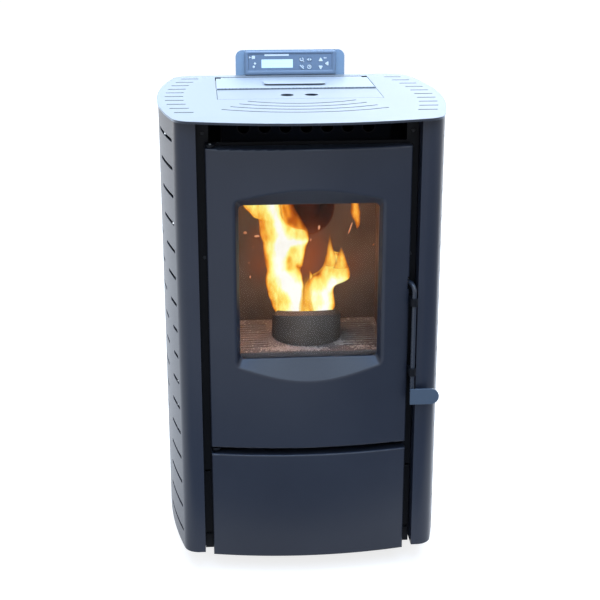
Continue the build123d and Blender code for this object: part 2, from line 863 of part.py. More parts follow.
def window_cone(wall):
    """The space of the window recess, or with a wall the outside of its surround."""
    front = recess_ring(recess_front_y, recess_half_width + wall, recess_bottom_corner_z - wall,
                        recess_bottom_apex_z - wall, recess_top_corner_z + wall, recess_top_apex_z + wall)
    low_z = window_bottom_z - wall
    high_z = window_top_z + wall
    back = recess_ring(window_y, window_half_width + wall, low_z, low_z, high_z, high_z)
    cone = Solid.make_loft([front, back], ruled=True)
    slanted = [edge for edge in cone.edges() if edge.bounding_box().size.Y > (window_y - recess_front_y) / 2]
    return Part() + cone.fillet(recess_corner_radius + wall, slanted)


def window_block(margin, front_y, back_y):
    """A round-cornered block round the window opening, larger than it by a margin."""
    opening_block = block(-window_half_width - margin, window_half_width + margin, front_y, back_y,
                          window_bottom_z - margin, window_top_z + margin)
    return fillet(opening_block.edges().filter_by(Axis.Y), window_corner_radius + margin)


def recess_lip(panel):
    """The edges where the recess runs out into the bowed front of the door."""
    front = panel.faces().filter_by(GeomType.CYLINDER).sort_by(SortBy.AREA)[-1]
    return front.inner_wires()[0].edges()


def door_panel():
    """The bowed door skin with its returns, and the lens-shaped recess lofted down to the window."""
    panel = bowed_tray(door_bottom_z, door_top_z)
    outer_form = bowed_block(door_half_width, 0, door_back_y, door_bottom_z, door_top_z)
    panel += window_cone(recess_wall) & outer_form
    panel += window_block(window_flange, window_y, flange_back_y)
    panel -= window_cone(0)
    panel = fillet(recess_lip(panel), recess_lip_radius)
    panel -= window_block(0, window_y, flange_back_y)
    notch_bottom_z = handle_top_z - latch_notch_height / 2
    panel -= block(latch_notch_x, door_half_width, eye_front_y, door_back_y,
                   notch_bottom_z, notch_bottom_z + latch_notch_height)
    panel -= block(door_half_width - latch_edge_notch, door_half_width, bow_y(door_half_width) - door_skin,
                   eye_front_y, notch_bottom_z, notch_bottom_z + latch_notch_height)
    for z in (door_bottom_z, door_top_z - door_skin):
        panel -= upright(hinge_x, hinge_y, z, z + door_skin, hinge_pin_radius + pin_clearance)
    return panel


def door_hinge_eyes():
    """Two bored blocks in the left corners of the door, which turn on the hinge pins."""
    left_x = -door_half_width + door_skin
    eyes = []
    for z in (door_bottom_z + door_skin, door_top_z - door_skin - eye_height):
        eye = block(left_x, left_x + eye_width, eye_front_y, door_back_y - door_skin, z, z + eye_height)
        eyes.append(eye - upright(hinge_x, hinge_y, z, z + eye_height, hinge_pin_radius + pin_clearance))
    return Part() + eyes


def glass_gasket():
    ring = window_block(glass_lap, flange_back_y, glass_front_y)
    return ring - window_block(1, flange_back_y, glass_front_y)


def door_glass():
    return window_block(glass_lap, glass_front_y, glass_back_y)


def glass_clips():
    """Stepped clips screwed to the window flange, which hold the glass by its edge."""
    middle_z = (window_bottom_z + window_top_z) / 2
    span_z = (window_top_z - window_bottom_z) / 3
    clips = []
    for side in (-1, 1):
        for z in (middle_z - span_z, middle_z, middle_z + span_z):
            inner_x = window_half_width + glass_lap - clip_hold
            step_x = window_half_width + glass_lap + clip_gap
            outer_x = window_half_width + window_flange
            arm = [block(inner_x, step_x + clip_thickness, glass_back_y, glass_back_y + clip_thickness,
                         z - clip_width / 2, z + clip_width / 2),
                   block(step_x, step_x + clip_thickness, flange_back_y, glass_back_y + clip_thickness,
                         z - clip_width / 2, z + clip_width / 2),
                   block(step_x, outer_x, flange_back_y, flange_back_y + clip_thickness,
                         z - clip_width / 2, z + clip_width / 2)]
            clip = arm[0] + arm[1] + arm[2]
            clips.append(clip if side > 0 else mirror(clip, about=Plane.YZ))
    return Part() + clips


def door_gasket():
    """The rope gasket round the back of the door, pressed flat against the frame."""
    middle_z = (door_bottom_z + door_top_z) / 2
    height = door_top_z - door_bottom_z - 2 * gasket_inset_z
    depth = frame_front_y - door_back_y - seat_gap
    width = 2 * gasket_half_width
    ring = RectangleRounded(width + gasket_width, height + gasket_width, gasket_width)
    ring -= RectangleRounded(width - gasket_width, height - gasket_width, gasket_width / 2)
    plane = Plane(origin=(0, door_back_y, middle_z), x_dir=(1, 0, 0), z_dir=(0, 1, 0))
    return plane * extrude(ring, depth)


def hinge_brackets():
    """Two plates on the front frame, above and below the door, each with an upright pin."""
    brackets = []
    for edge_z, direction in ((door_bottom_z, -1), (door_top_z, 1)):
        near_z = edge_z + direction * hinge_plate_gap
        far_z = near_z + direction * hinge_plate_thickness
        z0, z1 = min(near_z, far_z), max(near_z, far_z)
        nose = upright(hinge_x, hinge_y, z0, z1, hinge_ear_radius)
        arm = block(hinge_x - hinge_ear_radius, hinge_x + hinge_ear_radius, hinge_y, frame_front_y, z0, z1)
        tip_z = edge_z - direction * hinge_pin_length
        pin = upright(hinge_x, hinge_y, min(near_z, tip_z), max(near_z, tip_z), hinge_pin_radius)
        brackets.append(nose + arm + pin)
    return Part() + brackets


# ======== Door handle ========

def handle_shaft():
    """The upright rod, bent at its top towards the latch."""
    tail = Vector(handle_tail_x - handle_x, handle_tail_y - handle_y, 0)
    path = FilletPolyline((handle_x, handle_y, handle_bottom_z), (handle_x, handle_y, handle_top_z),
                          (handle_tail_x, handle_tail_y, handle_top_z), radius=handle_bend_radius)
    start = Plane(origin=(handle_x, handle_y, handle_bottom_z), z_dir=(0, 0, 1))
    rod = sweep(start * Circle(handle_radius), path=path.wire())
    flat = Plane(origin=(handle_tail_x, handle_tail_y, handle_top_z), z_dir=tail)
    end_block = Pos(0, 0, handle_radius) * Box(6 * handle_radius, 6 * handle_radius, 2 * handle_radius)
    return rod - flat * end_block


def handle_tab():
    """The flat tab at the foot of the rod, fully rounded at its free end."""
    height = tab_top_z - tab_bottom_z
    left_x = handle_x - handle_radius
    straight = tab_right_x - height / 2 - left_x
    middle_z = (tab_bottom_z + tab_top_z) / 2
    plane = Plane(origin=(left_x, handle_y - handle_radius, middle_z), x_dir=(1, 0, 0), z_dir=(0, -1, 0))
    shape = Pos(straight / 2, 0) * Rectangle(straight, height) + Pos(straight, 0) * Circle(height / 2)
    return plane * extrude(shape, tab_thickness)


def latch_hook():
    """The flat hook at the end of the rod's bent tail; its tip points to the keeper."""
    right_x = handle_tail_x + hook_right_gap
    left_x = handle_tail_x - hook_shank
    points = [(right_x, handle_tail_y), (right_x, hook_back_y), (hook_tip_x, hook_back_y),
              (hook_tip_x, hook_back_y - hook_shank), (left_x, handle_tail_y + hook_shank),
              (left_x, handle_tail_y)]
    hook = extrude(make_face(Polyline(*points, close=True).edges()), hook_thickness / 2, both=True)
    hook = Pos(0, 0, handle_top_z) * hook
    return hook - handle_shaft()


def handle_bushes():
    """Two bearings on the door's right edge that carry the rod."""
    bushes = []
    for z in bush_heights:
        ring = upright(handle_x, handle_y, z, z + bush_height, bush_radius)
        bore = upright(handle_x, handle_y, z, z + bush_height, handle_radius + pin_clearance)
        arm_points = [(door_half_width, eye_front_y - bush_root_front),
                      (door_half_width, door_back_y - bush_root_back),
                      (handle_x + bush_tip_reach / 2, handle_y + bush_tip_reach),
                      (handle_x - bush_tip_reach, handle_y - bush_tip_reach / 2),
                      (door_half_width + bush_elbow / 4, eye_front_y - bush_elbow)]
        arm = Pos(0, 0, z) * extrude(make_face(Polyline(*arm_points, close=True).edges()), bush_height)
        bushes.append(ring + arm - bore)
    return Part() + bushes


def latch_catch():
    """The keeper on the front frame, beside the hook's tip."""
    right_x = hook_tip_x - keeper_gap
    half = latch_notch_height / 2 + 3
    keeper = block(right_x - keeper_thickness, right_x, door_back_y + keeper_gap, frame_front_y,
                   handle_top_z - half, handle_top_z + half)
    return keeper


# ======== Ash drawer ========

def drawer_front():
    return bowed_tray(drawer_bottom_z, drawer_top_z)


def ash_pan():
    """The folded steel pan behind the drawer front, open at the top."""
    pan = block(-pan_half_width, pan_half_width, door_back_y, pan_rear_y, pan_bottom_z, pan_top_z)
    inner = pan_half_width - pan_wall
    return pan - block(-inner, inner, door_back_y + pan_wall, pan_rear_y - pan_wall,
                       pan_bottom_z + pan_wall, pan_top_z)


def drawer_runners():
    """A folded runner on each side: a foot, a web that guides the ash pan and a ledge under it."""
    floor_z = base_z + sheet
    ledge_top_z = pan_bottom_z - seat_gap
    web_x = pan_half_width + seat_gap
    inner_x = web_x - runner_ledge
    front_y = frame_back_y + runner_front_gap
    runners = []
    for solid_list in (
            mirrored(web_x, web_x + sheet, front_y, runner_rear_y,
                     floor_z, ledge_top_z + runner_guide_height),
            mirrored(inner_x, web_x, front_y, runner_rear_y, ledge_top_z - sheet, ledge_top_z),
            mirrored(inner_x, web_x, front_y, runner_rear_y, floor_z, floor_z + sheet)):
        runners += solid_list
    return Part() + runners


# ======== Fire ========

def tube_places():
    middle = (tube_count - 1) / 2
    return [(index - middle) * tube_pitch for index in range(tube_count)]


def firebox():
    """The welded firebox: the fire's room, a baffle, the smoke box set back above it and the exhaust duct."""
    inner = firebox_half_width - firebox_wall
    inner_back_y = firebox_back_y - firebox_wall
    shelf_z = mouth_top_z + firebox_wall
    smoke_front_y = smoke_box_front_y + firebox_wall
    box = block(-firebox_half_width, firebox_half_width, frame_back_y, firebox_back_y,
                firebox_bottom_z, shelf_z)
    box += block(-firebox_half_width, firebox_half_width, smoke_box_front_y, firebox_back_y,
                 firebox_bottom_z, firebox_top_z)
    box -= block(-inner, inner, frame_back_y, inner_back_y, firebox_bottom_z + firebox_wall, mouth_top_z)
    box -= block(-inner, inner, smoke_front_y, inner_back_y, firebox_bottom_z + firebox_wall,
                 firebox_top_z - firebox_wall)
    box += block(-inner, inner, smoke_front_y + baffle_front_gap, inner_back_y - baffle_back_gap,
                 mouth_top_z, mouth_top_z + baffle_thickness)
    box -= block(-ash_hole_half_width, ash_hole_half_width, ash_hole_front_y, ash_hole_back_y,
                 firebox_bottom_z, firebox_bottom_z + firebox_wall)
    bore_radius = tube_radius + pin_clearance
    box -= [along_y(x, tube_z, smoke_box_front_y, firebox_back_y, bore_radius) for x in tube_places()]
    box -= chute_cylinder(chute_radius + seat_gap, inner_back_y - pin_clearance)
    box -= along_y(pot_x, igniter_z, inner_back_y, firebox_back_y, igniter_radius + pin_clearance)
    return box + exhaust_duct() - smoke_hole()


def smoke_hole():
    """The hole in the smoke box's back that lets the smoke into the exhaust duct."""
    top_z = tube_z - 2 * tube_radius - sheet
    return block(duct_left_x + sheet, duct_right_x - sheet,
                 firebox_back_y - firebox_wall, firebox_back_y + sheet, top_z - smoke_hole_height, top_z)


def exhaust_duct():
    """The duct that leads the smoke from the top of the firebox to the exhaust blower's inlet."""
    back_y = firebox_back_y + duct_depth
    top_z = tube_z - 2 * tube_radius
    duct = block(duct_left_x, duct_right_x, firebox_back_y, back_y, duct_bottom_z, top_z)
    duct += block(duct_left_x, duct_right_x, firebox_back_y, duct_arm_back_y, duct_bottom_z, duct_arm_top_z)
    w = sheet
    duct -= block(duct_left_x + w, duct_right_x - w, firebox_back_y + w, back_y - w,
                  duct_bottom_z + w, top_z - w)
    duct -= block(duct_left_x + w, duct_right_x - w, firebox_back_y + w, duct_arm_back_y - w,
                  duct_bottom_z + w, duct_arm_top_z - w)
    return duct - along_x(exhaust_fan_y, exhaust_fan_z, duct_right_x - w, duct_right_x, exhaust_inlet_radius)


def floor_grate():
    """The cast floor of the fire: a plate with a ribbed grate on each side of the burn pot and a sill in front."""
    half = firebox_half_width - firebox_wall - grate_fit
    bottom_z = firebox_bottom_z + firebox_wall
    back_y = firebox_back_y - firebox_wall - grate_fit
    plate = block(-half, half, frame_back_y + grate_fit, back_y, bottom_z, bottom_z + grate_thickness)
    sill_back_y = frame_front_y - seat_gap
    sill_front_y = sill_back_y - sill_thickness
    plate += block(-sill_half_width, sill_half_width, sill_front_y, frame_back_y + grate_fit,
                   bottom_z, bottom_z + grate_thickness)
    plate += block(-sill_half_width, sill_half_width, sill_front_y, sill_back_y,
                   bottom_z - sill_drop, bottom_z + grate_thickness)
    plate -= upright(pot_x, pot_y, bottom_z, bottom_z + grate_thickness, pot_stem_radius + pot_hole_clearance)
    middle = (grate_slot_count - 1) / 2
    for index in range(grate_slot_count):
        y = pot_y + (index - middle) * grate_slot_pitch
        front_y, rear_y = y - grate_slot_width / 2, y + grate_slot_width / 2
        plate -= mirrored(grate_slot_inner_x, grate_slot_outer_x, front_y, rear_y,
                          bottom_z, bottom_z + grate_thickness)
    return plate


def burn_pot():
    """A stepped cast cup with a slanted, bevelled rim, a shoulder on the floor and air holes below."""
    shoulder_z = firebox_bottom_z + firebox_wall + grate_thickness + seat_gap
    cup = Pos(0, 0, shoulder_z) * extrude(Circle(pot_radius), pot_rim_z - shoulder_z)
    rim = Plane(origin=(0, -pot_radius, pot_rim_z), x_dir=(1, 0, 0)).rotated((-pot_rim_slope, 0, 0))
    cup -= rim * extrude(Rectangle(4 * pot_radius, 8 * pot_radius), pot_radius)
    rim_edge = cup.edges().filter_by(GeomType.ELLIPSE)
    cup = chamfer(rim_edge, pot_chamfer)
    stem = Pos(0, 0, pot_bottom_z) * extrude(Circle(pot_stem_radius), shoulder_z - pot_bottom_z)
    inside = Polyline(
        (0, pot_bottom_z + pot_wall), (pot_stem_radius - pot_wall, pot_bottom_z + pot_wall),
        (pot_stem_radius - pot_wall, shoulder_z), (pot_radius - pot_rim_wall, shoulder_z + pot_wall),
        (pot_radius - pot_rim_wall, pot_rim_z), (0, pot_rim_z), close=True)
    pot = cup + stem - revolve(Plane.XZ * make_face(inside.edges()), axis=Axis.Z)
    pot = Pos(pot_x, pot_y, 0) * pot
    pot -= along_y(pot_x, igniter_z, pot_y, pot_y + pot_radius, pot_igniter_hole_radius)
    for index in range(pot_air_hole_count):
        angle = 2 * math.pi * index / pot_air_hole_count
        x = pot_x + pot_hole_ring_radius * math.cos(angle)
        y = pot_y + pot_hole_ring_radius * math.sin(angle)
        pot -= upright(x, y, pot_bottom_z, pot_bottom_z + pot_wall, pot_air_hole_radius)
    return pot


def ash_chute():
    """The tapered duct that drops the ash from the floor grate into the pan."""
    lap, front_lap = ash_chute_lap, ash_chute_front_lap
    top = (-ash_hole_half_width - lap, ash_hole_half_width + lap,
           ash_hole_front_y - front_lap, ash_hole_back_y + lap)
    bottom = (-ash_hole_half_width, ash_hole_half_width, ash_hole_front_y + lap, ash_hole_back_y - lap)
    chute = frustum_shell(bottom, pan_top_z + ash_chute_foot_gap, top, firebox_bottom_z, sheet)
    return chute - along_y(intake_x, intake_z, ash_hole_back_y - intake_cut_reach,
                           ash_hole_back_y + intake_cut_reach, intake_radius + seat_gap)


def heat_exchanger_tubes():
    """Straight tubes through the smoke box, which carry the room air from the back to the open front."""
    tubes = [along_y(x, tube_z, smoke_box_front_y, firebox_back_y, tube_radius)
             - along_y(x, tube_z, smoke_box_front_y, firebox_back_y, tube_bore) for x in tube_places()]
    return Part() + tubes


def igniter():
    tip_y = pot_y + pot_radius + igniter_tip_gap
    collar = along_y(pot_x, igniter_z, firebox_back_y, firebox_back_y + igniter_collar_depth,
                     igniter_radius + igniter_collar_width)
    return along_y(pot_x, igniter_z, tip_y, igniter_rear_y, igniter_radius) + collar


# ======== Pellet feed ========

def hopper():
    """The pellet hopper: a flange under the top plate and a body that tapers to the feed box."""
    mouth = (-hopper_half_width, hopper_half_width, hopper_front_y, hopper_back_y)
    throat = (feed_x - throat_half_width, feed_x + throat_half_width, throat_front_y, throat_back_y)
    flange_z = plate_bottom_z - hopper_wall
    body = frustum_shell(throat, throat_z, mouth, flange_z, hopper_wall)
    flange = block(-hopper_flange_x, hopper_flange_x, hopper_flange_front_y, hopper_flange_back_y,
                   flange_z, plate_bottom_z)
    inner = hopper_half_width - hopper_wall
    flange -= block(-inner, inner, hopper_front_y + hopper_wall, hopper_back_y - hopper_wall,
                    flange_z, plate_bottom_z)
    return body + flange


def auger_tube():
    """The slanted feed tube with the box that receives the pellets from the hopper."""
    tube = on_auger(Pos(0, 0, auger_length() / 2) * Cylinder(auger_tube_radius, auger_length()))
    box = block(feed_x - throat_half_width, feed_x + throat_half_width, throat_front_y, throat_back_y,
                feed_box_bottom_z, throat_z)
    room = throat_half_width - hopper_wall
    inside = block(feed_x - room, feed_x + room, throat_front_y + hopper_wall, throat_back_y - hopper_wall,
                   feed_box_bottom_z + hopper_wall, throat_z)
    bore = on_auger(Pos(0, 0, auger_length() / 2) * Cylinder(auger_tube_bore, auger_length()))
    return tube + box - inside - bore


def auger_screw():
    """The auger: a shaft with one helical flight, driven from its foot."""
    foot = seat_gap
    turns = (auger_length() - 2 * foot) / auger_pitch
    bar = Pos(auger_flight_radius / 2, 0) * Rectangle(auger_flight_radius, auger_flight_width)
    flight = Solid.extrude_linear_with_rotation(
        bar.face(), (0, 0, 0), (0, 0, auger_length() - 2 * foot), 360 * turns)
    shaft_length = auger_length() + auger_socket_depth - foot
    shaft = Pos(0, 0, shaft_length / 2 - auger_socket_depth) * Cylinder(auger_shaft_radius, shaft_length)
    limit = Pos(0, 0, auger_length() / 2) * Cylinder(auger_flight_radius, auger_length())
    return on_auger((Pos(0, 0, foot) * flight) & limit) + on_auger(shaft)


def auger_motor():
    """The geared motor at the foot of the auger, with a socket for its shaft."""
    motor = Pos(0, 0, -auger_motor_length / 2) * Cylinder(auger_motor_radius, auger_motor_length)
    flange = Pos(0, 0, -auger_motor_flange / 2) * Cylinder(auger_tube_radius, auger_motor_flange)
    depth = auger_socket_depth + auger_shaft_end_gap
    socket = Pos(0, 0, -depth / 2) * Cylinder(auger_shaft_radius + pin_clearance, depth)
    return on_auger(motor + flange - socket)


def chute_cylinder(radius, front_y):
    """A cylinder along the drop chute's slanted axis, cut square to Y at its front."""
    plane = Plane(origin=(feed_x, firebox_back_y, chute_z), x_dir=(1, 0, 0),
                  z_dir=(0, math.cos(math.radians(chute_tilt)), math.sin(math.radians(chute_tilt))))
    lead = chute_radius
    cylinder = plane * (Pos(0, 0, (chute_length - lead) / 2) * Cylinder(radius, chute_length + lead))
    return cylinder - block(feed_x - 2 * radius, feed_x + 2 * radius, front_y - 3 * radius, front_y,
                            chute_z - 3 * radius, chute_z + 3 * radius)


def pellet_chute():
    """The round chute that drops the pellets from the auger's head through the firebox's back."""
    front_y = firebox_back_y - firebox_wall
    end = Plane(origin=(feed_x, firebox_back_y, chute_z), x_dir=(1, 0, 0),
                z_dir=(0, math.cos(math.radians(chute_tilt)), math.sin(math.radians(chute_tilt))))
    chute = chute_cylinder(chute_radius, front_y)
    inside = chute_cylinder(chute_radius - chute_wall, front_y)
    end_block = Box(4 * chute_radius, 4 * chute_radius, 2 * chute_radius)
    inside -= end * (Pos(0, 0, chute_length - chute_wall + chute_radius) * end_block)
    passage = on_auger(Pos(0, 0, auger_length() / 2) * Cylinder(auger_tube_radius + seat_gap, auger_length()))
    return chute - inside - passage


# ======== Air ========

def flue_centre_x():
    return duct_right_x + exhaust_housing_width / 2


def flue_centre_z():
    return exhaust_fan_z + exhaust_scroll_end - exhaust_outlet_width / 2


def exhaust_plane(x):
    """The exhaust blower's axis runs along X, and its outlet points to the rear."""
    return Plane(origin=(x, exhaust_fan_y, exhaust_fan_z), x_dir=(0, 0, 1), z_dir=(1, 0, 0))


def exhaust_blower_housing():
    sizes = (exhaust_scroll_start, exhaust_scroll_end, exhaust_outlet_width, exhaust_outlet_y - exhaust_fan_y,
             exhaust_inlet_radius, fan_shaft_radius + fan_shaft_hole_gap)
    return blower_housing(exhaust_plane(duct_right_x), sizes, exhaust_housing_width)


def fan_hub_and_shaft(wheel_width, motor_side_length):
    """A hub with its shaft, built along Z with the wheel's back plate at the origin."""
    hub = Pos(0, 0, -wheel_width / 4) * Cylinder(fan_hub_radius, wheel_width / 2)
    shaft = Pos(0, 0, motor_side_length / 2) * Cylinder(fan_shaft_radius, motor_side_length)
    return hub + shaft


def exhaust_impeller():
    """A radial wheel: a back plate with straight blades and a hub on the motor's shaft."""
    depth = exhaust_housing_width - 2 * housing_wall - 2 * fan_side_gap
    wheel = Pos(0, 0, -sheet / 2) * Cylinder(exhaust_fan_radius, sheet)
    wheel += fan_hub_and_shaft(depth, fan_side_gap + housing_wall + fan_shaft_reach)
    tip = exhaust_fan_radius - exhaust_blade_tip_gap
    for index in range(exhaust_fan_blades):
        angle = 360 * index / exhaust_fan_blades
        middle = (exhaust_blade_root + tip) / 2
        blade = Pos(middle, 0, -depth / 2) * Box(tip - exhaust_blade_root, sheet, depth)
        wheel += Rot(0, 0, angle) * blade
    return exhaust_plane(duct_right_x + exhaust_housing_width - housing_wall - fan_side_gap) * wheel


def exhaust_blower_motor():
    face_x = duct_right_x + exhaust_housing_width
    motor = along_x(exhaust_fan_y, exhaust_fan_z, face_x, face_x + exhaust_motor_length, exhaust_motor_radius)
    motor = fillet(motor.edges().sort_by(Axis.X)[-1], motor_edge_radius)
    socket_x = face_x + fan_shaft_reach + fan_shaft_end_gap
    return motor - along_x(exhaust_fan_y, exhaust_fan_z, face_x, socket_x, fan_shaft_radius + pin_clearance)


def flue_spigot():
    """The flue outlet: a rectangular foot on the blower's outlet, lofted to a round spigot."""
    x, z = flue_centre_x(), flue_centre_z()

    def foot(inset):
        height = exhaust_outlet_width + 2 * housing_wall
        section = Rectangle(exhaust_housing_width - 2 * inset, height - 2 * inset)
        return Plane(origin=(x, exhaust_outlet_y, z), x_dir=(1, 0, 0), z_dir=(0, 1, 0)) * section

    def ring(inset):
        place = Plane(origin=(x, flue_neck_y, z), x_dir=(1, 0, 0), z_dir=(0, 1, 0))
        return place * Circle(flue_radius - inset)

    neck = loft([foot(0), ring(0)]) - loft([foot(flue_wall), ring(flue_wall)])
    pipe = along_y(x, z, flue_neck_y, flue_end_y, flue_radius) + pipe_collar(x, z, flue_radius)
    return neck + (pipe - along_y(x, z, flue_neck_y, flue_end_y, flue_radius - flue_wall))


def pipe_collar(x, z, radius):
    """The collar that seats a pipe on the outside of the rear panel."""
    return along_y(x, z, plate_back_y, plate_back_y + collar_thickness, radius + collar_width)


def air_intake_pipe():
    front_y = ash_hole_back_y - intake_reach
    pipe = along_y(intake_x, intake_z, front_y, intake_end_y, intake_radius)
    pipe += pipe_collar(intake_x, intake_z, intake_radius)
    return pipe - along_y(intake_x, intake_z, front_y, intake_end_y, intake_radius - intake_wall)


def room_blower_housing():
    """The room air blower behind the ash pan, on a foot that stands on the base pan."""
    sizes = (room_scroll_start, room_scroll_end, room_outlet_width, room_outlet_length,
             fan_shaft_radius + fan_shaft_hole_gap, room_inlet_radius)
    plane = Plane(origin=(room_fan_x, room_housing_front_y, room_fan_z), x_dir=(-1, 0, 0), z_dir=(0, 1, 0))
    housing = blower_housing(plane, sizes, room_housing_width)
    foot_top_z = room_fan_z - room_scroll_start
    foot = block(room_fan_x - blower_foot_half_width, room_fan_x + blower_foot_half_width,
                 room_housing_front_y + blower_foot_inset,
                 room_housing_front_y + room_housing_width - blower_foot_inset, base_z + sheet, foot_top_z)
    return housing + (foot - upright_scroll())


def upright_scroll():
    """A plain cylinder inside the room blower, which keeps the foot out of the scroll."""
    return along_y(room_fan_x, room_fan_z, room_housing_front_y, room_housing_front_y + room_housing_width,
                   (room_scroll_start + room_scroll_end) / 2)


def room_fan_wheel():
    """A squirrel-cage wheel: a back plate, a front ring and upright blades between them."""
    depth = room_housing_width - 2 * housing_wall - 2 * fan_side_gap
    back = Pos(0, 0, sheet / 2) * Cylinder(room_fan_radius, sheet)
    ring = Cylinder(room_fan_radius, sheet) - Cylinder(room_fan_radius - cage_ring_width, sheet)
    wheel = back + Pos(0, 0, depth - sheet / 2) * ring
    wheel += Pos(0, 0, depth / 4) * Cylinder(fan_hub_radius, depth / 2)
    reach = fan_side_gap + housing_wall + fan_shaft_reach
    wheel += Pos(0, 0, -reach / 2) * Cylinder(fan_shaft_radius, reach)
    for index in range(room_fan_blades):
        angle = 360 * index / room_fan_blades
        blade = Rot(0, 0, cage_blade_angle) * Box(cage_blade_width, cage_blade_thickness, depth)
        wheel += Rot(0, 0, angle) * Pos(room_fan_radius - cage_blade_inset, 0, depth / 2) * blade
    plane = Plane(origin=(room_fan_x, room_housing_front_y + housing_wall + fan_side_gap, room_fan_z),
                  x_dir=(-1, 0, 0), z_dir=(0, 1, 0))
    return plane * wheel


def room_blower_motor():
    back_y = room_housing_front_y
    motor = along_y(room_fan_x, room_fan_z, back_y - room_motor_length, back_y, room_motor_radius)
    motor = fillet(motor.edges().sort_by(Axis.Y)[0], motor_edge_radius)
    socket_y = back_y - fan_shaft_reach - fan_shaft_end_gap
    return motor - along_y(room_fan_x, room_fan_z, socket_y, back_y, fan_shaft_radius + pin_clearance)


# ======== Controls and electrics ========

def controller_bracket():
    """The upright plate behind the top plate's rear edge that carries the controller."""
    height = bracket_top_z - bracket_bottom_z
    shape = Pos(0, bracket_bottom_z + height / 2) * Rectangle(2 * bracket_half_width, height)
    shape = fillet(shape.vertices().sort_by(Axis.Y)[2:], bracket_corner_radius)
    cut_height = housing_top_z - housing_bottom_z + 2 * seat_gap
    cut = Rectangle(2 * (housing_half_width + seat_gap), cut_height)
    shape -= Pos(0, (housing_top_z + housing_bottom_z) / 2) * cut
    plane = Plane(origin=(0, plate_back_y + sheet, 0), x_dir=(1, 0, 0), z_dir=(0, -1, 0))
    return plane * extrude(shape, sheet)


def key_shape(name, grow):
    """A key's outline at its place: round, or a rounded triangle that points its way."""
    if name in arrow_key_places:
        x, z, angle = arrow_key_places[name]
        triangle = RegularPolygon(arrow_key_radius, 3)
        triangle = fillet(triangle.vertices(), arrow_corner_radius)
        if grow:
            triangle = offset(triangle, grow)
        return Pos(x, z) * Rot(0, 0, angle) * triangle
    x, z = round_key_places[int(name[-1]) - 1]
    return Pos(x, z) * Circle(key_radius + grow)


def key_names():
    return [f"key_{index + 1}" for index in range(len(round_key_places))] + list(arrow_key_places)


def face_plane(y):
    """A plane that faces the front, with x to the right and its y axis up."""
    return Plane(origin=(0, y, 0), x_dir=(1, 0, 0), z_dir=(0, -1, 0))


def key(name):
    return face_plane(bezel_front_y - key_proud + key_length) * extrude(key_shape(name, 0), key_length)


def controller_housing():
    """The controller's bezel in front of the bracket and its box through it, with wells for the keys."""
    bezel = block(-bezel_half_width, bezel_half_width, bezel_front_y, plate_back_y,
                  bezel_bottom_z, bezel_top_z)
    bezel = fillet(bezel.edges().filter_by(Axis.Y), bezel_corner_radius)
    bezel += block(-housing_half_width, housing_half_width, plate_back_y, housing_back_y,
                   housing_bottom_z, housing_top_z)
    well_depth = key_length - key_proud + key_travel + seat_gap
    for name in key_names():
        bezel -= face_plane(bezel_front_y + well_depth) * extrude(key_shape(name, key_clearance), well_depth)
    bezel -= block(lcd_left_x, lcd_right_x, bezel_front_y, bezel_front_y + lcd_recess + lcd_thickness,
                   lcd_bottom_z, lcd_top_z)
    for x, z in lamp_places:
        bezel -= along_y(x, z, bezel_front_y, bezel_front_y + lcd_thickness, lamp_radius)
    return bezel


def controller_display():
    front_y = bezel_front_y + lcd_recess
    return block(lcd_left_x, lcd_right_x, front_y, front_y + lcd_thickness, lcd_bottom_z, lcd_top_z)


def controller_lights():
    lamps = [along_y(x, z, bezel_front_y, bezel_front_y + lcd_thickness, lamp_radius) for x, z in lamp_places]
    return Part() + lamps


def control_box():
    x0, x1 = control_box_x
    z0, z1 = control_box_z
    box = block(x0, x1, panel_back_y - control_box_depth, panel_back_y, z0, z1)
    return fillet(box.edges().filter_by(Axis.Y), control_box_corner_radius)


def power_inlet():
    """The mains inlet in the rear panel: a flange with a well and three blades."""
    back_y = plate_back_y + inlet_proud
    floor_y = back_y - inlet_well_depth
    half_width, half_height = inlet_width / 2, inlet_height / 2
    rim = inlet_proud
    body = block(inlet_x - half_width, inlet_x + half_width, back_y - inlet_depth, plate_back_y,
                 inlet_z - half_height, inlet_z + half_height)
    body += block(inlet_x - half_width - rim, inlet_x + half_width + rim, plate_back_y, back_y,
                  inlet_z - half_height - rim, inlet_z + half_height + rim)
    body -= block(inlet_x - inlet_well_half_width, inlet_x + inlet_well_half_width, floor_y, back_y,
                  inlet_z - inlet_well_half_height, inlet_z + inlet_well_half_height)
    for dx, dz in inlet_blade_places:
        x, z = inlet_x + dx, inlet_z + dz
        body += block(x - inlet_blade_half_width, x + inlet_blade_half_width, floor_y, back_y - inlet_proud,
                      z - inlet_blade_half_height, z + inlet_blade_half_height)
    return body


def cabinet_screws():
    """Pan-head screws on the front frame and the rear panel."""
    screws = []
    for side in (-1, 1):
        for z in frame_screw_heights:
            screws.append(along_y(side * frame_screw_x, z, frame_front_y - screw_head_height, frame_front_y,
                                  screw_head_radius))
        for z in rear_screw_heights:
            screws.append(along_y(side * rear_screw_x, z, plate_back_y, plate_back_y + screw_head_height,
                                  screw_head_radius))
    return Part() + screws


# ======== All sub-parts ========

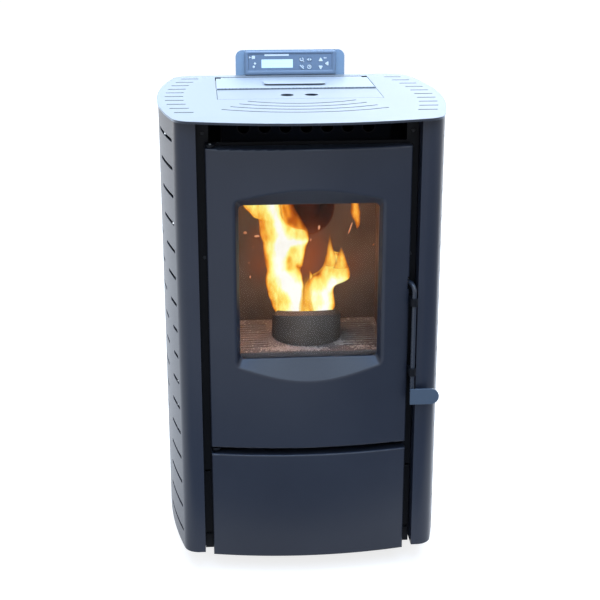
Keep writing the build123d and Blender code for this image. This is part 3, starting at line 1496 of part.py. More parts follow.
sub_parts = {
    "base_pan": base_pan,
    "levelling_feet": levelling_feet,
    "left_side_panel": lambda: side_panel(-1),
    "right_side_panel": lambda: side_panel(1),
    "top_plate": top_plate,
    "back_panel": back_panel,
    "front_frame": front_frame,
    "lid_hinge_ears": lid_hinge_ears,
    "hopper_lid": hopper_lid,
    "lid_grip": lid_grip,
    "cover_hinge_leaf": cover_hinge_leaf,
    "service_cover": service_cover,
    "door_panel": door_panel,
    "door_hinge_eyes": door_hinge_eyes,
    "glass_gasket": glass_gasket,
    "door_glass": door_glass,
    "glass_clips": glass_clips,
    "door_gasket": door_gasket,
    "hinge_brackets": hinge_brackets,
    "handle_shaft": handle_shaft,
    "handle_tab": handle_tab,
    "latch_hook": latch_hook,
    "handle_bushes": handle_bushes,
    "latch_catch": latch_catch,
    "drawer_front": drawer_front,
    "ash_pan": ash_pan,
    "drawer_runners": drawer_runners,
    "firebox": firebox,
    "floor_grate": floor_grate,
    "burn_pot": burn_pot,
    "ash_chute": ash_chute,
    "heat_exchanger_tubes": heat_exchanger_tubes,
    "igniter": igniter,
    "hopper": hopper,
    "auger_tube": auger_tube,
    "auger_screw": auger_screw,
    "auger_motor": auger_motor,
    "pellet_chute": pellet_chute,
    "exhaust_blower_housing": exhaust_blower_housing,
    "exhaust_impeller": exhaust_impeller,
    "exhaust_blower_motor": exhaust_blower_motor,
    "flue_spigot": flue_spigot,
    "air_intake_pipe": air_intake_pipe,
    "room_blower_housing": room_blower_housing,
    "room_fan_wheel": room_fan_wheel,
    "room_blower_motor": room_blower_motor,
    "controller_bracket": controller_bracket,
    "controller_housing": controller_housing,
    "controller_display": controller_display,
    "controller_lights": controller_lights,
    "control_box": control_box,
    "power_inlet": power_inlet,
    "cabinet_screws": cabinet_screws,
}
for key_name in key_names():
    sub_parts[key_name] = lambda name=key_name: key(name)

os.makedirs("parts", exist_ok=True)
for node, make in sub_parts.items():
    export_step(make(), f"parts/{node}.step")
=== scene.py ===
import json
import math

import bmesh
import bpy
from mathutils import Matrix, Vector, noise


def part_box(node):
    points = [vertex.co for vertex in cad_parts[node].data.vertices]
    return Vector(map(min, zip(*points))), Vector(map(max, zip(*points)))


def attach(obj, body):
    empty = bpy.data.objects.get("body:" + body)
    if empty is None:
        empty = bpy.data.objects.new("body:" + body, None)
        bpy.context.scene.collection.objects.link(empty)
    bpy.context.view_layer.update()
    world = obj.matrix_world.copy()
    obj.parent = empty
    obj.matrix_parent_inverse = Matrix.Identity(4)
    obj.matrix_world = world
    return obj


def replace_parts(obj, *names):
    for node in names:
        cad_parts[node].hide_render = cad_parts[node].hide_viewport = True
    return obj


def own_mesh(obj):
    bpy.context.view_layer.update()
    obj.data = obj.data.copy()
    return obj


# Looks of the pellet stove. Metres; X to the right, Y to the rear, Z up, as in the frame.
# The outlines and profiles of its small pieces are in millimetres, and MM brings them to metres.

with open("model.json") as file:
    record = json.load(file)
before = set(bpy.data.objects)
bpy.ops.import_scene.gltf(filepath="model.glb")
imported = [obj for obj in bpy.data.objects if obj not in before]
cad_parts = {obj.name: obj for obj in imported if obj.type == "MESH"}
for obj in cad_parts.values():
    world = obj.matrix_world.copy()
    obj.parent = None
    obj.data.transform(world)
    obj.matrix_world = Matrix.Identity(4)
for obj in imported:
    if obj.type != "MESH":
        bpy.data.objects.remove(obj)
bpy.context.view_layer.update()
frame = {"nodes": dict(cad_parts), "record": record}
nodes = frame["nodes"]
MM = 0.001


# ======== Placing and mesh helpers ========

def put_in_scene(name, data):
    """A new object in the scene's collection."""
    placed = bpy.data.objects.new(name, data)
    bpy.context.scene.collection.objects.link(placed)
    return placed


def add_object(name, mesh, body, material=None):
    """A finished mesh becomes a piece that rides on a body."""
    piece = put_in_scene(name, mesh)
    if material:
        mesh.materials.append(material)
    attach(piece, body)
    return piece


def mesh_from(name, bm, smooth=True):
    """Closes a bmesh into a mesh with its doubles merged and its normals outward."""
    bmesh.ops.remove_doubles(bm, verts=bm.verts, dist=1e-7)
    bmesh.ops.recalc_face_normals(bm, faces=bm.faces)
    mesh = bpy.data.meshes.new(name)
    bm.to_mesh(mesh)
    bm.free()
    for face in mesh.polygons:
        face.use_smooth = smooth
    return mesh


def add_shape(name, bm, body, material, smooth=True):
    """A bmesh becomes a piece that rides on a body."""
    return add_object(name, mesh_from(name, bm, smooth), body, material)


def join_rows(bm, rows, closed=False, capped=False):
    """Faces between each ring of points and the next; closed joins the last ring to the first."""
    for low, high in zip(rows, rows[1:] + rows[:1] if closed else rows[1:]):
        for side in range(len(low)):
            after = (side + 1) % len(low)
            bm.faces.new((low[side], low[after], high[after], high[side]))
    if capped:
        bm.faces.new(list(reversed(rows[0])))
        bm.faces.new(rows[-1])


def turned_rows(bm, profile, sides):
    """Rings of points round the Z axis, from a profile of (radius, z) in millimetres."""
    angles = [2 * math.pi * side / sides for side in range(sides)]
    return [[bm.verts.new(Vector((radius * math.cos(a), radius * math.sin(a), z)) * MM) for a in angles]
            for radius, z in profile]


# ======== Shader helpers ========

class Shader:
    """A node tree with short calls for adding and linking nodes."""

    def __init__(self, tree):
        self.tree = tree

    def add(self, kind, inputs=None, **settings):
        node = self.tree.nodes.new(kind)
        for key, value in settings.items():
            setattr(node, key, value)
        for key, value in (inputs or {}).items():
            self.feed(node, key, value)
        return node

    def feed(self, node, key, value):
        if isinstance(value, bpy.types.NodeSocket):
            self.tree.links.new(value, node.inputs[key])
        else:
            node.inputs[key].default_value = value

    def place(self):
        """Where a point lies on its own object."""
        return self.add("ShaderNodeTexCoord").outputs["Object"]

    def part(self, vector, axis):
        return self.add("ShaderNodeSeparateXYZ", {"Vector": vector}).outputs[axis]

    def facing_up(self):
        """How much the surface faces up, from -1 to 1."""
        return self.part(self.add("ShaderNodeNewGeometry").outputs["Normal"], "Z")

    def math(self, operation, *values):
        return self.add("ShaderNodeMath", dict(enumerate(values)), operation=operation).outputs[0]

    def mix(self, factor, first, second):
        """Mixes two colours."""
        return self.add("ShaderNodeMix", {0: factor, 6: first, 7: second}, data_type="RGBA").outputs[2]

    def ramp(self, value, stops):
        """A colour ramp with stops of (position, colour)."""
        node = self.add("ShaderNodeValToRGB", {"Fac": value})
        points = node.color_ramp.elements
        points[0].position, points[0].color = stops[0]
        points[1].position, points[1].color = stops[-1]
        for position, colour in stops[1:-1]:
            points.new(position).color = colour
        return node.outputs["Color"]

    def scaled(self, value, low, high, new_low, new_high):
        """A value moved from one range to another and kept inside it."""
        return self.add("ShaderNodeMapRange", {"Value": value, "From Min": low, "From Max": high,
                                               "To Min": new_low, "To Max": new_high}).outputs["Result"]

    def noise(self, vector, scale, detail, roughness):
        return self.add("ShaderNodeTexNoise", {"Vector": vector, "Scale": scale, "Detail": detail,
                                               "Roughness": roughness}).outputs["Fac"]

    def bump(self, surface, height, distance, **more):
        """Raises a surface by a height that changes over it."""
        node = self.add("ShaderNodeBump", {"Height": height, "Distance": distance, **more})
        self.feed(surface, "Normal", node.outputs[0])


def rgba(red, green, blue):
    return (red, green, blue, 1.0)


def new_group(name, inputs, outputs):
    """A shader node group with named sockets; returns it with its shader helper and its ends."""
    tree = bpy.data.node_groups.new(name, "ShaderNodeTree")
    for socket, value in inputs.items():
        item = tree.interface.new_socket(socket, in_out="INPUT", socket_type="NodeSocketFloat")
        item.default_value = value
    for socket, kind in outputs.items():
        tree.interface.new_socket(socket, in_out="OUTPUT", socket_type=kind)
    shader = Shader(tree)
    return tree, shader, shader.add("NodeGroupInput").outputs, shader.add("NodeGroupOutput")


def make_surface_group():
    """Fine grain, slow blotches and dust, for every painted, cast or moulded finish."""
    tree, s, given, out = new_group(
        "surface_variation", {"Grain Scale": 900.0, "Blotch Scale": 9.0, "Dust": 0.1},
        dict.fromkeys(("Grain", "Blotch", "Dust Mask"), "NodeSocketFloat"))
    place = s.place()
    s.feed(out, "Grain", s.noise(place, given["Grain Scale"], 4.0, 0.6))
    s.feed(out, "Blotch", s.noise(place, given["Blotch Scale"], 3.0, 0.55))
    speck = s.scaled(s.noise(place, 340.0, 5.0, 0.7), 0.45, 0.75, 0.0, 1.0)
    settled = s.scaled(s.facing_up(), 0.2, 1.0, 0.15, 1.0)
    s.feed(out, "Dust Mask", s.math("MULTIPLY", s.math("MULTIPLY", speck, settled), given["Dust"]))
    return tree


def make_edge_group():
    """A mask of rubbed edges and painted edge highlights, from the difference of the bevelled and the plain
    normal.
    """
    tree, s, given, out = new_group("edge_wear_and_highlight", {"Radius": 0.0015, "Amount": 1.0},
                                    {"Mask": "NodeSocketFloat", "Normal": "NodeSocketVector"})
    bevel = s.add("ShaderNodeBevel", {"Radius": given["Radius"]}, samples=4).outputs[0]
    plain = s.add("ShaderNodeNewGeometry").outputs["Normal"]
    dot = s.add("ShaderNodeVectorMath", {0: bevel, 1: plain}, operation="DOT_PRODUCT").outputs["Value"]
    edge = s.scaled(dot, 0.995, 0.8, 0.0, 1.0)
    broken = s.scaled(s.noise(s.place(), 140.0, 5.0, 0.7), 0.35, 0.6, 0.15, 1.0)
    s.feed(out, "Mask", s.math("MULTIPLY", s.math("MULTIPLY", edge, broken), given["Amount"]))
    s.feed(out, "Normal", bevel)
    return tree


surface_group = make_surface_group()
edge_group = make_edge_group()


def new_material(name):
    """An empty material with its output; returns both with the shader helper."""
    material = bpy.data.materials.new(name)
    material.use_nodes = True
    material.node_tree.nodes.clear()
    s = Shader(material.node_tree)
    return material, s, s.add("ShaderNodeOutputMaterial")


def principled(s, out, **plain):
    """The surface shader; plain values go straight on its sockets."""
    node = s.add("ShaderNodeBsdfPrincipled", {key.replace("_", " "): value for key, value in plain.items()})
    s.feed(out, "Surface", node.outputs[0])
    return node


def finish_material(name, colour, second, wear_and_highlight_colour, roughness, grain_scale=900.0, blotch_scale=9.0,
                    grain_height=0.00003, edge_radius=0.0012, wear=0.3, dust=0.1,
                    dust_colour=(0.35, 0.34, 0.33), metallic=0.0, soot=None, unglared_side_colour=None, **plain):
    """A finish with colour blotches, rubbed edges that can also carry a painted highlight, settled dust and
    a fine bumped grain.

    Past a line (axis, where the change starts, where it is full, colour) it turns to another colour and
    grows rougher, and faces that look to the side can take their own colour, which leaves a painted glare on
    the faces that look up.
    """
    material, s, out = new_material(name)
    shader = principled(s, out, Metallic=metallic, **plain)
    surface = s.add("ShaderNodeGroup", {"Grain Scale": grain_scale, "Blotch Scale": blotch_scale,
                                        "Dust": dust}, node_tree=surface_group).outputs
    edge = s.add("ShaderNodeGroup", {"Radius": edge_radius, "Amount": wear}, node_tree=edge_group).outputs
    blotch = s.scaled(surface["Blotch"], 0.35, 0.65, 0.0, 1.0)
    tint = s.mix(blotch, rgba(*colour), rgba(*second))
    # Edges take their own colour: rubbed paint, and on the cabinet paint also a painted highlight.
    tint = s.mix(edge["Mask"], tint, rgba(*wear_and_highlight_colour))
    tint = s.mix(surface["Dust Mask"], tint, rgba(*dust_colour))
    dull = s.math("MULTIPLY", surface["Dust Mask"], 0.4)
    # Faces that look to the side take their own colour; on the top's paints that is the paint's own dark
    # colour, and the lighter colour left on faces that look up is a painted glare.
    if unglared_side_colour:
        unglared_side = s.scaled(s.facing_up(), 0.3, 0.75, 1.0, 0.0)
        tint = s.mix(unglared_side, tint, rgba(*unglared_side_colour))
    if soot:
        axis, change_from, change_full, past_colour = soot
        past_line = s.scaled(s.part(s.place(), axis), change_from, change_full, 0.0, 1.0)
        tint = s.mix(past_line, tint, rgba(*past_colour))
        dull = s.math("ADD", dull, past_line)
    s.feed(shader, "Base Color", tint)
    rough = s.scaled(surface["Grain"], 0.3, 0.7, *roughness)
    s.feed(shader, "Roughness", s.math("MINIMUM", s.math("ADD", rough, dull), 1.0))
    s.bump(shader, surface["Grain"], grain_height, Normal=edge["Normal"])
    return material


# ======== Materials ========

# What related finishes share: the cabinet's paints, the paints of the top, and steel near the fire.
CABINET = {"grain_scale": 700.0, "blotch_scale": 6.0, "dust": 0.03, "IOR": 1.45}
TOP = {"grain_scale": 700.0, "blotch_scale": 5.0, "grain_height": 0.00004, "edge_radius": 0.0004,
       "wear": 0.2, "dust": 0.03, "IOR": 1.5, "Sheen_Weight": 0.7, "Sheen_Roughness": 0.45,
       "Sheen_Tint": rgba(0.8, 0.9, 1.0)}
# Lighter and bluer than the cabinet's own dark paint, which the top shares: a painted glare of the sky on
# the top's faces.
TOP_GLARE_TINTS = ((0.06, 0.078, 0.11), (0.068, 0.088, 0.122), (0.14, 0.16, 0.2), (0.44, 0.52))
# The paint's own dark colour, kept by the cut edges of the top's sheet, the walls of its openings and the
# cover below its top face, where no painted glare lies.
UNGLARED_TOP_COLOUR = (0.008, 0.011, 0.02)
FIRED = {"grain_scale": 160.0, "blotch_scale": 12.0, "grain_height": 0.00006, "wear": 0.25, "dust": 0.12,
         "dust_colour": (0.2, 0.165, 0.14), "IOR": 1.2}
FIRED_TINTS = ((0.085, 0.068, 0.06), (0.115, 0.093, 0.083), (0.2, 0.14, 0.1), (0.8, 0.95))

# Each finish: its colour, its blotches, its edge colour (rubbed paint, on the cabinet paint also a painted
# highlight), its range of roughness, then the rest.
FINISHES = {
    # The cabinet paint's lighter edge colour is partly rubbed paint and partly a painted highlight on the
    # edges of the door and the drawer.
    "cabinet_paint": ((0.0125, 0.016, 0.0275), (0.0155, 0.0195, 0.032), (0.09, 0.11, 0.14), (0.3, 0.38),
                      {**CABINET, "edge_radius": 0.0024, "wear": 0.4}),
    "panel_paint": ((0.012, 0.016, 0.029), (0.0145, 0.019, 0.033), (0.05, 0.055, 0.07), (0.3, 0.38),
                    {**CABINET, "edge_radius": 0.0004}),
    # The plate, the cover's hinge and the cover carry this painted glare; faces that look to the side keep
    # the paint's own dark colour.
    "top_glare_paint": (*TOP_GLARE_TINTS, {**TOP, "unglared_side_colour": UNGLARED_TOP_COLOUR}),
    # A lighter, bluer copy of the top's paint with more sheen: a painted reflection of the bright sky on the
    # lid and its grip.
    "lid_glare_paint": ((0.095, 0.124, 0.19), (0.105, 0.136, 0.205), (0.14, 0.16, 0.2), (0.44, 0.52),
                  {**TOP, "unglared_side_colour": UNGLARED_TOP_COLOUR, "Sheen_Weight": 1.0}),
    "hinge_glare_paint": (*TOP_GLARE_TINTS, TOP),
    # Below its top face the cover takes the paint's own dark colour, so that only its top carries the
    # painted glare.
    "cover_paint": (*TOP_GLARE_TINTS, {**TOP, "soot": ("Z", 0.8477, 0.8471, UNGLARED_TOP_COLOUR)}),
    "black_paint": ((0.0022, 0.0028, 0.0045), (0.0035, 0.0042, 0.0065), (0.022, 0.025, 0.03), (0.4, 0.55),
                    {"grain_scale": 800.0, "wear": 0.2, "dust": 0.02, "IOR": 1.25}),
    "handle_paint": ((0.05, 0.075, 0.11), (0.06, 0.086, 0.124), (0.2, 0.23, 0.27), (0.3, 0.4),
                     {"grain_scale": 700.0, "wear": 0.4, "dust": 0.03, "IOR": 1.5}),
    "rod_paint": ((0.016, 0.02, 0.03), (0.021, 0.026, 0.037), (0.12, 0.13, 0.15), (0.22, 0.32),
                  {"wear": 0.4, "dust": 0.02, "IOR": 1.5}),
    "steel": ((0.42, 0.43, 0.44), (0.5, 0.51, 0.52), (0.7, 0.7, 0.7), (0.28, 0.45),
              {"grain_scale": 500.0, "blotch_scale": 30.0, "metallic": 1.0}),
    "fire_steel": (*FIRED_TINTS, FIRED),
    # Darker above z 0.729, and nearly black from z 0.733.
    "firebox_steel": (*FIRED_TINTS, {**FIRED, "soot": ("Z", 0.729, 0.733, (0.0065, 0.0078, 0.012))}),
    # A little darker and greyer in front of y -0.196.
    "grate_iron": ((0.135, 0.12, 0.118), (0.185, 0.163, 0.158), (0.42, 0.31, 0.29), (0.7, 0.9),
                   {"grain_scale": 300.0, "blotch_scale": 24.0, "grain_height": 0.00012,
                    "edge_radius": 0.0008, "wear": 0.6, "dust": 0.3, "dust_colour": (0.38, 0.35, 0.34),
                    "IOR": 1.3, "soot": ("Y", -0.196, -0.202, (0.125, 0.114, 0.116))}),
    "ash": ((0.32, 0.29, 0.27), (0.45, 0.41, 0.39), (0.55, 0.5, 0.47), (0.8, 0.95),
            {"grain_scale": 2000.0, "blotch_scale": 80.0, "wear": 0.2, "dust": 0.2, "IOR": 1.2}),
    "screw_black": ((0.016, 0.017, 0.02), (0.026, 0.027, 0.031), (0.2, 0.2, 0.21), (0.3, 0.45),
                    {"grain_scale": 1500.0, "wear": 0.6, "edge_radius": 0.0004, "dust": 0.03, "IOR": 1.45}),
    "key_print": ((0.82, 0.93, 0.99), (0.86, 0.95, 1.0), (0.9, 0.96, 1.0), (0.4, 0.55),
                  {"grain_scale": 1800.0, "wear": 0.1, "dust": 0.01}),
    "sooty_steel": ((0.034, 0.009, 0.005), (0.046, 0.013, 0.007), (0.1, 0.035, 0.018), (0.7, 0.9),
                    {"grain_scale": 200.0, "blotch_scale": 16.0, "grain_height": 0.00006, "dust": 0.08,
                     "dust_colour": (0.12, 0.09, 0.075), "IOR": 1.2}),
    "cast_iron": ((0.06, 0.054, 0.05), (0.08, 0.071, 0.065), (0.22, 0.18, 0.15), (0.7, 0.9),
                  {"grain_scale": 300.0, "blotch_scale": 20.0, "grain_height": 0.00012, "wear": 0.4,
                   "dust": 0.25, "dust_colour": (0.26, 0.235, 0.21), "IOR": 1.3}),
    "motor_paint": ((0.02, 0.02, 0.022), (0.03, 0.03, 0.032), (0.2, 0.2, 0.2), (0.35, 0.5), {"dust": 0.15}),
    "rubber": ((0.012, 0.012, 0.013), (0.018, 0.018, 0.019), (0.04, 0.04, 0.04), (0.7, 0.85), {}),
    "controller_blue": ((0.185, 0.255, 0.36), (0.205, 0.275, 0.38), (0.4, 0.5, 0.64), (0.38, 0.5),
                        {"grain_scale": 1500.0, "wear": 0.35, "dust": 0.01, "IOR": 1.45}),
    "bracket_blue": ((0.25, 0.355, 0.485), (0.27, 0.38, 0.51), (0.45, 0.56, 0.7), (0.38, 0.5),
                     {"grain_scale": 1200.0, "dust": 0.01, "IOR": 1.45}),
    "pale_plastic": ((0.88, 0.95, 0.98), (0.9, 0.97, 0.99), (0.94, 0.97, 0.99), (0.35, 0.5),
                     {"grain_scale": 1800.0, "wear": 0.1, "dust": 0.01}),
    "black_plastic": ((0.012, 0.012, 0.014), (0.018, 0.018, 0.02), (0.08, 0.08, 0.08), (0.4, 0.6), {}),
}
finish = {name: finish_material(name, *tints, **rest) for name, (*tints, rest) in FINISHES.items()}


def make_rope():
    """Woven fibre of the gaskets: fine diagonal strands."""
    material, s, out = new_material("rope")
    shader = principled(s, out, IOR=1.3)
    strands = s.add("ShaderNodeTexWave", {"Vector": s.place(), "Scale": 160.0, "Distortion": 2.0,
                                          "Detail": 2.0}, bands_direction="DIAGONAL").outputs["Fac"]
    s.feed(shader, "Base Color", s.mix(strands, rgba(0.05, 0.05, 0.048), rgba(0.16, 0.155, 0.15)))
    s.feed(shader, "Roughness", s.scaled(strands, 0.0, 1.0, 0.8, 0.95))
    s.bump(shader, strands, 0.0004)
    return material


def make_ember():
    """Charred pellets that glow in their cracks."""
    material, s, out = new_material("ember")
    shader = principled(s, out, Roughness=0.9, IOR=1.2, Emission_Strength=2.0)
    crack = s.scaled(s.noise(s.place(), 260.0, 5.0, 0.65), 0.45, 0.62, 0.0, 1.0)
    s.feed(shader, "Base Color", s.mix(crack, rgba(0.03, 0.022, 0.018), rgba(0.09, 0.05, 0.03)))
    s.feed(shader, "Emission Color", s.ramp(crack, [
        (0.0, rgba(0.02, 0.002, 0.0)), (0.5, rgba(0.6, 0.09, 0.01)), (1.0, rgba(1.0, 0.4, 0.06))]))
    s.bump(shader, crack, 0.0004)
    return material


def make_glass():
    """Ceramic window glass with a faint haze."""
    material, s, out = new_material("window_glass")
    shader = principled(s, out, Transmission_Weight=1.0, Metallic=0.0, IOR=1.12)
    haze = s.noise(s.place(), 18.0, 4.0, 0.6)
    s.feed(shader, "Base Color", s.mix(s.scaled(haze, 0.4, 0.7, 0.0, 1.0), rgba(0.97, 0.96, 0.95),
                                       rgba(0.9, 0.87, 0.84)))
    s.feed(shader, "Roughness", s.scaled(haze, 0.3, 0.8, 0.01, 0.05))
    return material


def make_display():
    """A lit character display: pale cells in two rows on a slightly deeper ground."""
    material, s, out = new_material("display")
    shader = principled(s, out, Roughness=0.2, Emission_Strength=0.25)
    low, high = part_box("controller_display")
    cells, lines = 16.0, 2.0
    split = s.add("ShaderNodeSeparateXYZ", {"Vector": s.place()}).outputs
    across = s.math("PINGPONG", s.scaled(split["X"], low.x, high.x, 0.0, cells), 0.5)
    upward = s.math("PINGPONG", s.scaled(split["Z"], low.z, high.z, 0.0, lines), 0.5)
    cell = s.math("MULTIPLY", s.scaled(across, 0.06, 0.12, 0.0, 1.0), s.scaled(upward, 0.08, 0.14, 0.0, 1.0))
    glow = s.scaled(split["X"], low.x, high.x, 0.0, 1.0)
    ground = s.mix(glow, rgba(0.68, 0.88, 0.91), rgba(0.74, 0.91, 0.94))
    colour = s.mix(s.math("MULTIPLY", cell, 0.35), ground, rgba(0.78, 0.96, 1.0))
    s.feed(shader, "Base Color", colour)
    s.feed(shader, "Emission Color", colour)
    return material


finish["rope"] = make_rope()
finish["ember"] = make_ember()
finish["glass"] = make_glass()
finish["display"] = make_display()

# Nodes whose finish isn't the one that their material slot names.
OWN_FINISH = {
    "handle_tab": "handle_paint", "handle_shaft": "rod_paint", "handle_bushes": "black_paint",
    "left_side_panel": "panel_paint", "right_side_panel": "panel_paint", "top_plate": "top_glare_paint",
    "hopper_lid": "lid_glare_paint", "lid_grip": "lid_glare_paint", "service_cover": "cover_paint",
    "cover_hinge_leaf": "hinge_glare_paint", "hopper": "motor_paint", "pellet_chute": "sooty_steel",
    "auger_tube": "sooty_steel", "auger_screw": "sooty_steel", "hinge_brackets": "black_paint",
    "heat_exchanger_tubes": "black_paint", "firebox": "firebox_steel", "floor_grate": "grate_iron",
    "controller_bracket": "bracket_blue",
}


def dress_nodes():
    """Every CAD node takes its own finish or that of its material slot."""
    slot_of = {part["node"]: part["material_slot"] for part in frame["record"]["subparts"]}
    for name, piece in nodes.items():
        material = finish[OWN_FINISH.get(name, slot_of[name])]
        for slot in piece.material_slots:
            slot.material = material
        if not piece.material_slots:
            piece.data.materials.append(material)


dress_nodes()


# ======== Fire ========

POT_X, POT_Y, POT_RIM_Z = 4.0, -130.0, 489.6


def upright(y, *rows):
    """The rows of a tongue that stands at one depth, given as (z, left x, right x)."""
    return [(z, left, right, y) for z, left, right in rows]


# Tongues in millimetres: rows (z, left x, right x, y), foot first.
left_flame = [
    (452, -44, -2, -130), (462, -49, 0, -130), (474, -56, 0, -130), (483, -60, -1, -130),
    (491, -62, -1, -129), (500, -66, -1, -129), (510, -68, -1, -128), (519, -70, 0, -128),
    (529, -71, -2, -127), (538, -70, -3, -127), (547, -68, -6, -126), (553, -69, -4, -126),
    (557, -70, -2, -126), (566, -72, 0, -125), (575, -73, 2, -125), (585, -74, 4, -124),
    (594, -75, 6, -124), (601, -75, 9, -123), (607, -78, 10, -123), (614, -80, 8, -122),
    (622, -81, 3, -122), (629, -81, -16, -122), (637, -82, -30, -122), (644, -83, -36, -122),
    (648, -92, -38, -122), (654, -97, -40, -122), (660, -103, -40, -122), (667, -109, -41, -122),
    (678, -113, -43, -122), (689, -107, -50, -122), (700, -98, -59, -122), (709, -87, -68, -122)]
right_flame = [
    (456, 4, 47, -134), (473, 1, 54, -134), (481, 0, 57, -134), (491, 0, 56, -134), (500, -1, 55, -133),
    (510, -1, 54, -133), (517, 0, 56, -133), (522, 2, 62, -133), (527, 6, 75, -133), (532, 9, 83, -132),
    (538, 14, 84, -132), (543, 23, 84, -132), (547, 28, 83, -132), (552, 32, 82, -132), (558, 35, 79, -132),
    (565, 37, 77, -132), (570, 38, 74, -131), (575, 40, 70, -131), (579, 43, 64, -131), (582, 47, 56, -131)]
spike_flame = upright(-133, (491, 5, 29), (506, 5, 29), (522, 6, 27), (531, 8, 22), (539, 9, 16),
                      (544, 9, 13), (548, 9, 11))
tall_tip = upright(-144, (560, 37, 58), (574, 38, 57), (585, 39, 54), (594, 40, 51), (604, 42, 49),
                   (613, 43, 47), (621, 44, 46))
short_tip = upright(-144, (556, 50, 80), (568, 55, 76), (578, 59, 73), (586, 62, 70), (595, 65, 67))
gap_flame = upright(-158, (462, -12, 16), (477, -12, 16), (491, -11, 13), (502, -9, 11), (514, -8, 12),
                    (524, -6, 12), (535, -5, 11), (545, -2, 6))
veil_flame = upright(-114, (608, -36, 10), (618, -39, 9), (625, -43, 5), (633, -45, 0), (642, -46, -5),
                     (652, -48, -11), (661, -50, -16), (670, -52, -19), (681, -52, -26), (694, -50, -35))
loose_flame = upright(-112, (619, 97, 99), (626, 95, 103), (633, 93, 104), (641, 88, 104), (650, 85, 104),
                      (659, 86, 102), (667, 86, 101), (674, 88, 98), (682, 91, 94))

# Hot and cool strokes in millimetres: (reach, gain, (x, z), (x, z)...).
left_strokes = [
    (13, 0.42, (-18, 455), (-15, 495), (-24, 518), (-36, 538), (-45, 551), (-46, 570), (-42, 593)),
    (9, 0.42, (-42, 593), (-42, 612), (-45, 630), (-50, 649), (-56, 666), (-58, 700)),
    (11, 0.34, (-40, 598), (-22, 601)), (6, 0.36, (-22, 602), (6, 602)),
    (13, 0.34, (-30, 522), (-9, 508), (-6, 535)), (8, 0.12, (-8, 575), (-8, 590)),
    (11, -0.16, (-42, 488), (-36, 500)), (11, -0.2, (-71, 640), (-71, 612)),
    (9, -0.3, (-24, 590), (-22, 596)), (5, -0.12, (-67, 577), (-67, 556)),
    (7, -0.3, (-27, 572), (-28, 555)), (5, -0.35, (-7, 553), (-12, 557)), (5, -0.2, (-11, 540), (-9, 532)),
    (9, -0.1, (-100, 668), (-80, 655))]
right_strokes = [
    (11, 0.42, (50, 524), (36, 508), (42, 490), (36, 465)), (8, 0.22, (18, 508), (22, 470)),
    (9, 0.16, (52, 533), (72, 533)), (9, -0.1, (58, 584), (60, 578)),
    (7, -0.3, (18, 545), (24, 543)), (8, -0.12, (50, 492), (52, 480))]
veil_strokes = [(7, 0.62, (-46, 694), (-44, 660), (-36, 632), (-10, 618), (4, 613)),
                (5, 0.35, (-33, 676), (-27, 650)), (5, 0.22, (-12, 640), (-6, 630))]

# Flame colours from cool to hot.
FLAME_COLOURS = [
    (0.0, rgba(0.26, 0.05, 0.008)), (0.12, rgba(0.5, 0.12, 0.01)), (0.24, rgba(0.86, 0.3, 0.025)),
    (0.38, rgba(0.97, 0.54, 0.07)), (0.5, rgba(1.0, 0.78, 0.16)), (0.62, rgba(1.0, 0.96, 0.3)),
    (0.76, rgba(1.0, 1.0, 0.56)), (0.92, rgba(1.0, 1.0, 0.96))]
VEIL_COLOURS = [(0.0, rgba(0.22, 0.035, 0.003)), (0.3, rgba(0.5, 0.1, 0.003)), (0.6, rgba(0.95, 0.34, 0.02)),
                (0.9, rgba(1.0, 0.7, 0.14))]
GLOW_COLOURS = [(0.0, rgba(0.3, 0.06, 0.02)), (1.0, rgba(0.42, 0.1, 0.03))]
SPARK_COLOURS = [(0.0, rgba(0.7, 0.22, 0.08)), (1.0, rgba(0.95, 0.5, 0.28))]


def make_flame_material(name, colours, strength):
    """Glowing gas, coloured by the warmth kept on each point and faded out at its edges by its cover."""
    material, s, out = new_material(name)
    shader = principled(s, out, Roughness=1.0, Specular_IOR_Level=0.0, Emission_Strength=strength,
                        Base_Color=rgba(0, 0, 0))
    warmth = s.add("ShaderNodeAttribute", attribute_name="warmth").outputs["Fac"]
    cover = s.add("ShaderNodeAttribute", attribute_name="cover").outputs["Fac"]
    stretched = s.add("ShaderNodeMapping", {"Vector": s.place(), "Scale": (1.0, 1.0, 0.4)}).outputs[0]
    lick = s.scaled(s.noise(stretched, 90.0, 6.0, 0.68), 0.3, 0.7, -0.14, 0.14)
    s.feed(shader, "Emission Color", s.ramp(s.math("ADD", warmth, lick), colours))
    s.feed(shader, "Alpha", cover)
    return material


flame = make_flame_material("flame", FLAME_COLOURS, 1.05)
flame_veil = make_flame_material("flame_veil", VEIL_COLOURS, 1.1)
flame_glow = make_flame_material("flame_glow", GLOW_COLOURS, 1.0)
spark_glow = make_flame_material("spark_glow", SPARK_COLOURS, 0.9)


def add_to_fire(name, bm, material):
    """A piece of the fire rides on the burn pot."""
    piece = add_shape(name, bm, "burn_pot_body", material)
    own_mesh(piece)


def spline_at(points, t):
    """A smooth curve through points with any number of values each."""
    span = t * (len(points) - 1)
    index = min(int(span), len(points) - 2)
    f = span - index
    p0 = points[max(index - 1, 0)]
    p1, p2 = points[index], points[index + 1]
    p3 = points[min(index + 2, len(points) - 1)]
    return [0.5 * (2 * b + (c - a) * f + (2 * a - 5 * b + 4 * c - d) * f * f
                   + (3 * b - a - 3 * c + d) * f**3) for a, b, c, d in zip(p0, p1, p2, p3)]


def fire_layers(bm):
    """The two values kept on every point of the fire."""
    for layer in ("warmth", "cover"):
        bm.verts.layers.float.new(layer)
    return bm.verts.layers.float["warmth"], bm.verts.layers.float["cover"]


